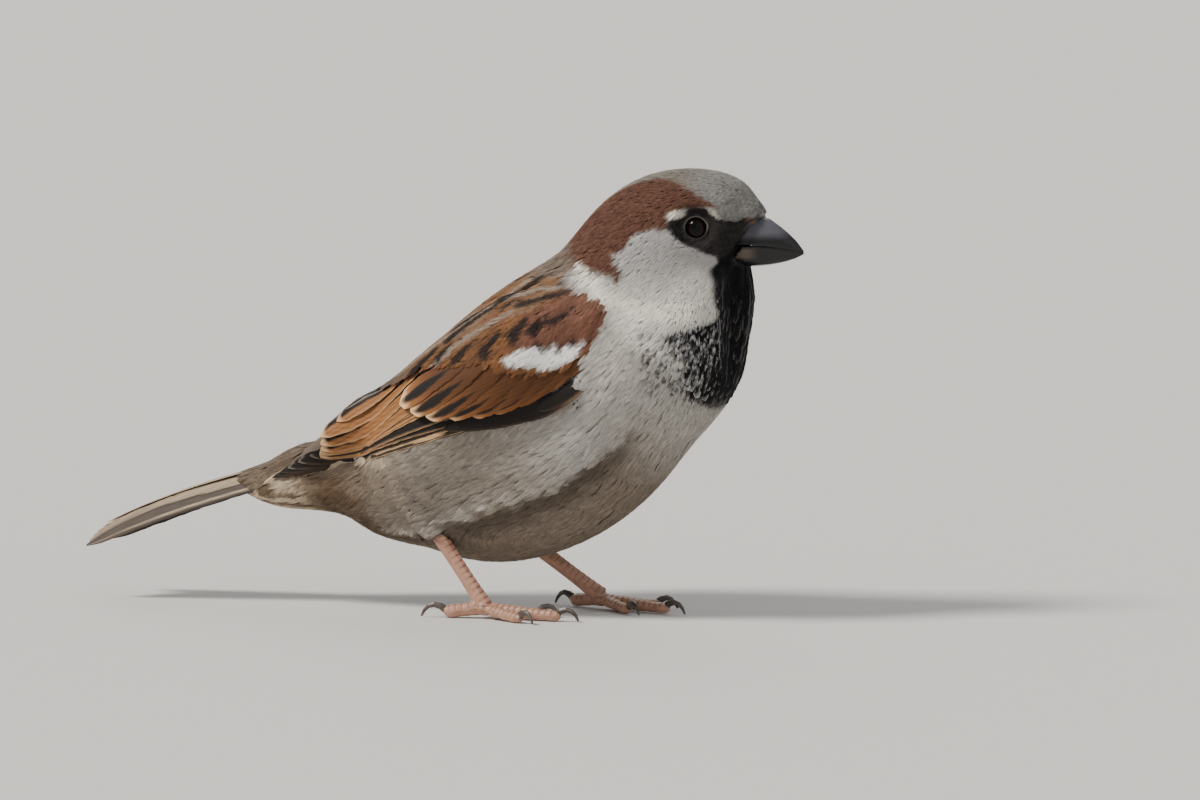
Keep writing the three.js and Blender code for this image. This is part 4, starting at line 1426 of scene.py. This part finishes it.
def quill_painter(pale_edge, pale_tip, patch=0.0):
    """Blackish webs; some have a pale outer edge that ends before the tip, or a buff patch."""

    def painter(share, t, across, along):
        tone = blend(FEATHER_BLACK, PRIMARY_DARK, smoothstep(0.4, 1.0, t))
        tone = blend(tone, PRIMARY_EDGE, pale_edge * smoothstep(0.78, 0.9, t) * smoothstep(0.74, 0.55, share))
        near_root = band(share, 0.12, 0.16, 0.26, 0.3)
        tone = blend(tone, BUFF_EDGE, patch * near_root * smoothstep(0.0, 0.4, t))
        tone = blend(tone, FRINGE_GREY, pale_tip * smoothstep(0.978, 0.99, share + 0.018 * t**2))
        return barred(tone, across, along)

    return painter


# Where large feathers lie is given as (place, turn) of root and tip, turns in degrees.
# Root, tip, half width, and the black lens: its length, half width and place across the vane.
GREATER_COVERTS = [
    ((35, 50), (16.9, 60), 2.6, 10.0, 1.25, 0.12),
    ((38, 54), (18.9, 68), 2.6, 9.4, 1.1, 0.42),
    ((41, 58), (21.6, 74), 2.5, 7.8, 0.8, 0.5),
    ((44, 62), (25.4, 76.8), 2.3, 6.2, 0.5, 0.52),
    ((46, 65), (29.4, 78.8), 2.1, 5.0, 0.3, 0.52),
    ((49, 67.5), (33, 79.6), 1.9, 3.6, 0.16, 0.5),
    ((51, 70), (37, 79.5), 1.7, 0, 0, 0),
    ((53, 72), (41.8, 77.5), 1.5, 0, 0, 0),
    ((55, 73), (47.5, 76.5), 1.3, 0, 0, 0),
]
# Root, tip and half width of each.
PRIMARY_COVERTS = [
    ((41, 84), (23.5, 83.5), 1.2),
    ((44, 85), (26, 85.5), 1.2),
    ((47, 86), (29, 87), 1.2),
    ((50, 86.5), (33, 88.5), 1.2),
    ((52.5, 86.5), (37, 90.5), 1.3),
    ((54, 84.5), (40, 88), 1.5),
]
# Root, tip, bow, half width, where the rusty web starts across the root and the tip, and how far
# the root and the tip lie below the wing's top. The last is the uppermost.
TERTIALS = [
    ((28, 38), (-1.9, 58.5), -3.0, 2.4, 0.05, -0.5, 1.0, 0.42),
    ((28, 50), (-2.5, 65), -2.0, 2.4, -0.35, 0.1, 1.14, 0.62),
    ((28, 60), (-3.0, 70), -2.0, 2.3, -0.25, 0.3, 1.28, 0.82),
    ((27, 31), (2.4, 50.5), -3.0, 2.2, 0.2, -0.1, 0.95, 0.3),
]
# Root, tip, half width, and where the rusty web starts across the root and the tip.
SECONDARIES = [
    ((26, 63), (-3.2, 70), 1.8, 0.45, 0.5),
    ((26, 66), (-3.6, 72), 1.7, 0.45, 0.55),
    ((26, 68.5), (-3.8, 73.2), 1.5, 0.5, 0.55),
    ((26, 75), (-4, 75), 1.8, 0.96, 0.7),
    ((26, 79.5), (-4.1, 76.8), 1.6, 0.96, 0.7),
]
# Root, tip, bow and half width of each.
PRIMARIES = [
    ((26, 79), (-5.5, 73.5), 1.0, 2.0),
    ((27, 80.4), (-8.2, 77), 0.2, 2.0),
    ((28, 81.8), (-10.8, 81), -0.6, 1.9),
    ((29, 83), (-12.8, 84.5), -1.4, 1.7),
    ((30, 84), (-14.2, 87.6), -2.1, 1.5),
    ((31, 84.7), (-14.8, 89.5), -2.8, 1.35),
    ((32, 85.4), (-13.4, 90.6), -3.4, 1.25),
    ((33, 86), (-11.6, 90.2), -4.0, 1.15),
]
PALE_PRIMARIES = (1, 4, 7)  # the ones whose pale outer edge shows along the folded wing
PATCHED_PRIMARIES = (1, 2)  # the ones with a buff patch near the root
TIPPED_PRIMARIES = (0, 1, 2)  # the ones with a pale tip

soft_covert_edge = profile(
    (8, 20.5), (14, 36), (18, 43), (24, 47), (28, 50.5), (31, 54.5), (36, 57.5), (39.6, 63), (44.1, 70.5),
    (49.5, 74.5), (54, 79), (58, 84), (62, 90),
)
WING_PLACES = np.arange(8, 63.1, 0.8)
SOFT_OVERLAP = 9  # degrees that the tips of the soft coverts reach past the lowest roots
WING_COLUMNS = 26


def wing_ground(side):
    """The upper part of a folded wing, where the feathers are small and soft."""
    share = np.linspace(0, 1, WING_COLUMNS)
    place = WING_PLACES[:, None] + 0 * share
    turn = np.radians(lerp(20, soft_covert_edge(place) + SOFT_OVERLAP, share))
    points = over_surface(place, side * turn, wing_height(place, turn)).reshape(-1, 3)
    rows, columns = np.meshgrid(
        np.arange(len(WING_PLACES) - 1) * WING_COLUMNS, np.arange(WING_COLUMNS - 1), indexing="ij"
    )
    corner = (rows + columns).ravel()
    ahead = corner + WING_COLUMNS
    faces = np.concatenate(
        [np.stack([corner, ahead, corner + 1], -1), np.stack([ahead, ahead + 1, corner + 1], -1)]
    )
    return Ground(points, faces if side > 0 else faces[:, ::-1])


SOFT_LENGTH, SOFT_HALF, SOFT_DEPTH = 2.3, 0.33, 0.25


def lay_primaries(plumage, side):
    for number, (root, tip, bow, half) in enumerate(PRIMARIES):
        pale_edge, patch = 0.9 * (number in PALE_PRIMARIES), 0.9 * (number in PATCHED_PRIMARIES)
        pale_tip = 0.5 if number in TIPPED_PRIMARIES else 0.05
        painter = quill_painter(pale_edge, pale_tip, patch)
        height = primary_height(number)
        lay_feather(plumage, number, side, root, tip, bow, half, FLIGHT_OUTLINE, height, painter, (44, 13))


def lay_secondaries(plumage, side):
    """The secondaries, and the tertials over them."""
    for number, (root, tip, half, edge_from, edge_to) in enumerate(SECONDARIES):
        height = under_wing_top(1.4 + 0.1 * number, 1.0 + 0.1 * number)
        painter = flight_painter(TERTIAL_RUSTY, edge_from, edge_to, 0.7)
        lay_feather(plumage, number, side, root, tip, -1, half, FLIGHT_OUTLINE, height, painter, (40, 13))
    for number, (root, tip, bow, half, *edge_and_depth) in enumerate(TERTIALS, len(SECONDARIES)):
        edge_from, edge_to, root_sunk, tip_sunk = edge_and_depth
        height = under_wing_top(root_sunk, tip_sunk)
        painter = flight_painter(TERTIAL_RUSTY, edge_from, edge_to, 1.0, 0.9)
        lay_feather(plumage, number, side, root, tip, bow, half, FLIGHT_OUTLINE, height, painter, (40, 17))


def lay_coverts(plumage, side):
    """The coverts of the primaries, and the greater coverts with their black lenses."""
    for number, (root, tip, half) in enumerate(PRIMARY_COVERTS):
        height = under_wing_top(0.95 - 0.05 * number, 0.8 - 0.05 * number)
        painter = quill_painter(0.25, 0.0)
        lay_feather(plumage, number, side, root, tip, 1, half, FLIGHT_OUTLINE, height, painter)
    for row, (root, tip, half, *lens) in enumerate(GREATER_COVERTS):
        height = under_wing_top(0.2 + 0.03 * row, 0.1 + 0.05 * row)
        number = row + len(PRIMARY_COVERTS)
        painter = covert_painter(*lens)
        lay_feather(plumage, number, side, root, tip, 1.5, half, COVERT_OUTLINE, height, painter, (34, 17))


def grow_soft_coverts(plumage, side):
    """The small tufts of the shoulder and upper wing, down to a wandering lower edge."""
    ground = wing_ground(side)
    density = tuft_density(SOFT_LENGTH, SOFT_HALF)
    roots, normals = ground.scatter(lambda points: np.full(len(points), density))
    place, turn = place_and_turn(roots)
    turn = np.degrees(np.abs(turn))
    on_wing = inside_outline(place, turn * DEGREE_MM, WING_OUTLINE) > 0.2
    on_wing &= turn < soft_covert_edge(place) - 1 + 2 * ripple(roots, 2.0, 33)
    roots, normals = roots[on_wing], normals[on_wing]
    length, half, depths = (np.full(len(roots), size) for size in (SOFT_LENGTH, SOFT_HALF, SOFT_DEPTH))
    grow_tufts(plumage, ground, roots, normals, (length, half), depths, back_markings, 7)


def grow_wing(side_name):
    side = SIDES[side_name]
    coverts, secondaries, primaries = Plumage(), Plumage(), Plumage()
    lay_primaries(primaries, side)
    lay_secondaries(secondaries, side)
    lay_coverts(coverts, side)
    grow_soft_coverts(coverts, side)
    parts = {"coverts": coverts, "secondaries": secondaries, "primaries": primaries}
    for part, plumage in parts.items():
        slot = "covert_feathers" if part == "coverts" else "flight_feathers"
        plumage.make(f"{part}_{side_name}", slot, vane_feathers, f"wing_{side_name}_{part}")


for side_name in SIDES:
    grow_wing(side_name)

# ---------------------------------------------------------------- scales of the bib
SCALE_ROW, SCALE_WIDTH, SCALE_LONG, SCALE_HALF = 1.7, 1.45, 4.0, 0.78
BIB_GIRTH = 17  # millimetres from the body's axis to the bib
SCALES_TOP = 60  # above this height the bib is all soft tufts


def scale_painter(fringe):
    """Black, with a pale fringe round the tip."""
    def painter(share, t, across, along):
        side_rim = smoothstep(0.45, 0.9, np.abs(t)) * smoothstep(0.25, 0.5, share)
        rim = np.maximum(side_rim, 0.9 * smoothstep(0.8, 0.95, share))
        return blend(BIB_BLACK, SCALE_FRINGE, fringe * rim)

    return painter


def scale_height(place, turn, share):
    """Scales start in the coat and come out of it at the tip, least near the throat."""
    return -0.3 + lerp(0.56, 0.34, smoothstep(65, 69, place)) * share


def places_on_bib():
    """Rows of places round the front of the body, each with its side and a little off its row."""
    for row, place in enumerate(np.arange(57.0, 80.0, SCALE_ROW)):
        step = math.degrees(SCALE_WIDTH / BIB_GIRTH)
        for turn in np.arange(60 + (row % 2) * step / 2, 180, step):
            for side in (-1, 1):
                yield side, place + rng.uniform(-0.5, 0.5), turn + rng.uniform(-2, 2)


def grow_bib():
    """Black breast feathers with pale fringes, which show as scales over the lower bib."""
    bib = Plumage(atlas_rows=30)
    number = 0
    for side, place, turn in places_on_bib():
        fringe, slant = rng.uniform(0.55, 1.0), rng.uniform(6, 11)
        half = SCALE_HALF * rng.uniform(0.8, 1.15)
        tip = over_surface(np.array([place]), np.radians([side * turn]), 0)
        _, y, z = tip[0]
        if bib_share(tip)[0] < 0.5 or z > SCALES_TOP:
            continue
        fringe = fringe * smoothstep(SCALES_TOP, 54, z) * lerp(0.15, 1.0, smoothstep(5, 10, abs(y)))
        root_place = place + SCALE_LONG * lerp(0.55, 1, smoothstep(150, 176, turn))
        root_turn = turn - slant * smoothstep(178, 160, turn)
        ends = ((root_place, root_turn), (place, turn))
        painter = scale_painter(fringe)
        lay_feather(bib, number, side, *ends, 0, half, COVERT_OUTLINE, scale_height, painter, (9, 9))
        number += 1
    bib.make("bib_scales", "neck_plumage", vane_feathers)


grow_bib()

# ---------------------------------------------------------------- tail
tail_top = profile((-65.7, 12.2), (-60, 15.1), (-49.5, 19.5), (-39.5, 22.8), (-30, 25.4), (-24, 26.8))
TAIL_ROOT_X, TAIL_TIP_X, TAIL_NOTCH = -25, -65.7, 2.2
OUTERMOST = 5  # the order of the outermost of six feathers on a side
TAIL_TOP = colour(158, 138, 115)
TAIL_DARK = colour(50, 42, 36)
TAIL_BROWN = colour(80, 70, 62)
TAIL_BUFF = colour(176, 157, 134)


def tail_painter(share, t, across, along):
    """Pale brown webs with a thin dark shaft."""
    dark = 0.3 * smoothstep(0.16, 0.02, np.abs(t)) + 0.08 * smoothstep(0.0, -0.7, t)
    tone = blend(TAIL_TOP, TAIL_DARK, dark)
    tone = blend(tone, TAIL_BUFF, 0.7 * smoothstep(0.5, 0.9, t))
    return barred(tone, across, along)


def outer_tail_painter(share, t, across, along):
    """The outermost feather: a pale inner web, a dark line, brown, a pale line and a dark outer edge."""
    tone = blend(TAIL_TOP, TAIL_BUFF, 0.6 * smoothstep(-0.6, -1.0, t))
    inner = t + 0.4 * smoothstep(0.3, 0.8, share)
    tone = blend(tone, TAIL_DARK, smoothstep(-0.28, -0.2, inner))
    tone = blend(tone, TAIL_BROWN, smoothstep(-0.12, 0.0, inner))
    tone = blend(tone, TAIL_BUFF, smoothstep(0.34, 0.42, t))
    tone = blend(tone, TAIL_DARK, smoothstep(0.6, 0.7, t))
    tone = blend(tone, TAIL_BROWN, 0.55 * smoothstep(0.55, 0.9, share))
    return barred(tone, across, along)


def add_tail_feather(plumage, number, side, order):
    """One of six on each side; the middle one lies on top, the outer ones under it."""
    share = np.linspace(0, 1, 44)
    outward = order / OUTERMOST
    x = lerp(TAIL_ROOT_X, TAIL_TIP_X + TAIL_NOTCH * (1 - outward) ** 1.5, share)
    out = lerp(0.4 + 0.62 * order, 1.1 + 1.05 * order, share)
    drop = order * lerp(0.44, 0.34, share) + 1.6 * (out / 8) ** 2
    centres = np.stack([x, side * out, tail_top(x) - drop], -1)
    along = unit(np.gradient(centres, axis=0))
    sides = np.array([0, side, 0]) - np.array([0, 0, 1.0]) * lerp(0.05, 1.5, outward**1.3)
    sides = unit(sides - along * (along @ sides)[:, None])
    ups = np.cross(along, sides)
    ups = ups * np.sign(ups[:, 2:3])
    halves = lerp(2.1, 2.0, outward) * FLIGHT_OUTLINE(share)
    painter = outer_tail_painter if order == OUTERMOST else tail_painter
    add_vane(plumage, number, centres, sides, ups, halves, 0.02, painter)


# For each part of the tail, the side and order of its feathers.
TAIL_PARTS = {
    "right": [(-1, 5), (-1, 4), (-1, 3), (-1, 2)],
    "middle": [(-1, 1), (-1, 0), (1, 1), (1, 0)],
    "left": [(1, 5), (1, 4), (1, 3), (1, 2)],
}
for part_name, feathers in TAIL_PARTS.items():
    plumage = Plumage()
    for number, (side, order) in enumerate(feathers):
        add_tail_feather(plumage, number, side, order)
    plumage.make(f"tail_{part_name}_feathers", "tail_feathers", vane_feathers, f"tail_{part_name}")

# ---------------------------------------------------------------- bill
def horn_piece(node, grow, voxel, rounds):
    """A smooth body of horn in the place of a CAD node."""
    piece = joined_copy(node + "_horn", [node], grow)
    melted(piece, voxel, rounds)
    shade_smooth(piece)
    return piece


# The blue-grey is a painted highlight over the bill's dark horn.
HORN_DARK, HORN_BLUE_HIGHLIGHT, HORN_TIP = colour(17, 16, 17), colour(78, 77, 84), colour(36, 35, 39)
LOWER_HORN, LOWER_PALE, NOSTRIL_EDGE = colour(19, 18, 19), colour(86, 75, 64), colour(80, 64, 52)


def bill_tones(points):
    """Dark horn with a painted highlight: blue-grey over its upper side where light falls from above; dark
    along the gape and the tip, with a pale patch at the lower base.
    """
    x, _, z = points.T
    # Painted highlight: the upper side of the bill is lighter blue-grey, where light from above falls on it.
    side = smoothstep(0.2, 2.0, z - 67.9 - 0.05 * (x - 60))
    tone = blend(HORN_DARK, HORN_BLUE_HIGHLIGHT, side)
    tone = blend(tone, HORN_TIP, smoothstep(63.5, 68, x))
    lower = smoothstep(67.9, 67.3, z - 0.2 * (x - 60))
    tone = blend(tone, LOWER_HORN, lower)
    patch = smoothstep(61.4, 59.4, x) * band(z, 64.8, 65.6, 66.6, 67.2)
    tone = blend(tone, LOWER_PALE, 0.8 * lower * patch)
    return blend(tone, NOSTRIL_EDGE, smoothstep(61.0, 59.6, x) * smoothstep(71.2, 72.6, z))


BILL_ROOT = 1.8  # how far the horn goes on under the skin
horn_base = profile((63, 57.7), (67.4, 57.7), (68, 58.9), (70, 60), (73, 61))
CLOSING = 0.16  # how much thicker each half gets where it meets the other
bill_horn = mottled_material(
    "bill_horn", roughness=0.27, specular=0.38, scale=1100, stretch=0.3, mottle=0.7, bump=0.3, depth=0.05
)
for name, meeting in (("bill_upper", -1), ("bill_lower", 1)):
    half_bill = horn_piece(name, grow=0.07, voxel=0.13, rounds=14)
    points, normals = points_of(half_bill), normals_of(half_bill)
    inner = smoothstep(0.2, 0.8, normals[:, 2] * meeting)
    points[:, 2] += meeting * CLOSING * inner * smoothstep(60, 64, points[:, 0])
    points[:, 0] -= BILL_ROOT * smoothstep(1.8, 0.2, points[:, 0] - horn_base(points[:, 2]))
    set_points(half_bill, points)
    paint(half_bill, bill_tones(points))
    finish_piece(half_bill, bill_horn, "bill_horn", name)

# ---------------------------------------------------------------- claws
claw_horn = claw_material()
for side_name in SIDES:
    for toe in TOE_NAMES:
        node = f"claw_{side_name}_{toe}"
        claw = horn_piece(node, grow=0.06, voxel=0.09, rounds=4)
        points = points_of(claw)
        points[:, 2] = np.maximum(points[:, 2], 0)
        set_points(claw, points)
        finish_piece(claw, claw_horn, "claw_horn", node)


# ---------------------------------------------------------------- eyes
IRIS, PUPIL, EYE_RIM = colour(21, 12, 10), colour(7, 5, 5), colour(6, 5, 5)
wet_eye = eye_material()
for side_name in SIDES:
    middle, forward, up, outward = eye_frame(side_name)
    bpy.ops.object.select_all(action="DESELECT")
    bpy.ops.mesh.primitive_uv_sphere_add(segments=64, ring_count=48, radius=EYE_RADIUS * MM)
    eye = bpy.context.object
    eye.name = f"eye_{side_name}_ball"
    local = points_of(eye) + SHIFT
    from_axis = np.hypot(local[:, 0], local[:, 1])
    # The clear window over the pupil stands out a little from the ball.
    local[:, 2] += 0.05 * smoothstep(1.9, 0.2, from_axis) * (local[:, 2] > 0)
    set_points(eye, middle + local @ np.stack([forward, up, outward]))
    tone = blend(IRIS, PUPIL, smoothstep(1.25, 0.9, from_axis))
    paint(eye, blend(tone, EYE_RIM, smoothstep(1.5, 1.8, from_axis)))
    shade_smooth(eye)
    finish_piece(eye, wet_eye, "eye", f"eye_{side_name}")

# ---------------------------------------------------------------- floor, light and camera
bpy.ops.object.select_all(action="DESELECT")
bpy.ops.mesh.primitive_plane_add(size=6, location=(0, 0, -0.2 * MM))
floor = bpy.context.object
floor.name = "floor"
floor.data.materials.append(floor_material())
floor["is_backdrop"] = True


def sunlight(name, place, width, strength, tint):
    """Wide, soft light that falls alike on the whole floor."""
    lamp = bpy.data.lights.new(name, "SUN")
    lamp.angle = math.radians(width)
    lamp.energy = strength
    lamp.color = tint
    holder = bpy.data.objects.new(name, lamp)
    holder.rotation_euler = Vector(place).to_track_quat("Z", "Y").to_euler()
    bpy.context.collection.objects.link(holder)


sunlight("key", (-0.55, -0.5, 0.85), width=16, strength=4.1, tint=(1.0, 0.965, 0.91))
sunlight("fill", (0.7, -0.6, 0.35), width=60, strength=0.45, tint=(0.92, 0.96, 1.0))
sunlight("rim", (-0.3, 0.8, 0.6), width=40, strength=0.55, tint=(1.0, 0.98, 0.95))
world = bpy.data.worlds.new("studio")
world.use_nodes = True
world.node_tree.nodes["Background"].inputs["Color"].default_value = (0.82, 0.84, 0.86, 1)
world.node_tree.nodes["Background"].inputs["Strength"].default_value = 0.56
bpy.context.scene.world = world

PICTURE_WIDTH, PIXELS_PER_MM = 1200, 5.6  # at the bird
CAMERA_AZIMUTH, CAMERA_ELEVATION = math.radians(20), math.radians(6)
LENS = 600  # so long that it hardly narrows with distance
PICTURE_MIDDLE = np.array([30.4, 0.0, 38.6])
camera_data = bpy.data.cameras.new("camera")
camera_data.lens = LENS
camera_data.sensor_width = 36
camera_data.clip_start, camera_data.clip_end = 0.05, 20
camera = bpy.data.objects.new("camera", camera_data)
bpy.context.collection.objects.link(camera)
distance = LENS / camera_data.sensor_width * (PICTURE_WIDTH / PIXELS_PER_MM)
toward = np.array(
    [
        math.sin(CAMERA_AZIMUTH) * math.cos(CAMERA_ELEVATION),
        -math.cos(CAMERA_AZIMUTH) * math.cos(CAMERA_ELEVATION),
        math.sin(CAMERA_ELEVATION),
    ]
)
camera.location = to_frame(PICTURE_MIDDLE + toward * distance)
camera.rotation_euler = Vector(-toward).to_track_quat("-Z", "Y").to_euler()
bpy.context.scene.camera = camera

# ---------------------------------------------------------------- sizes
dressed_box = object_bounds()
boxes = {"cad": cad_box, "dressed": dressed_box}
{name: [list(corner) for corner in box] for name, box in boxes.items()}
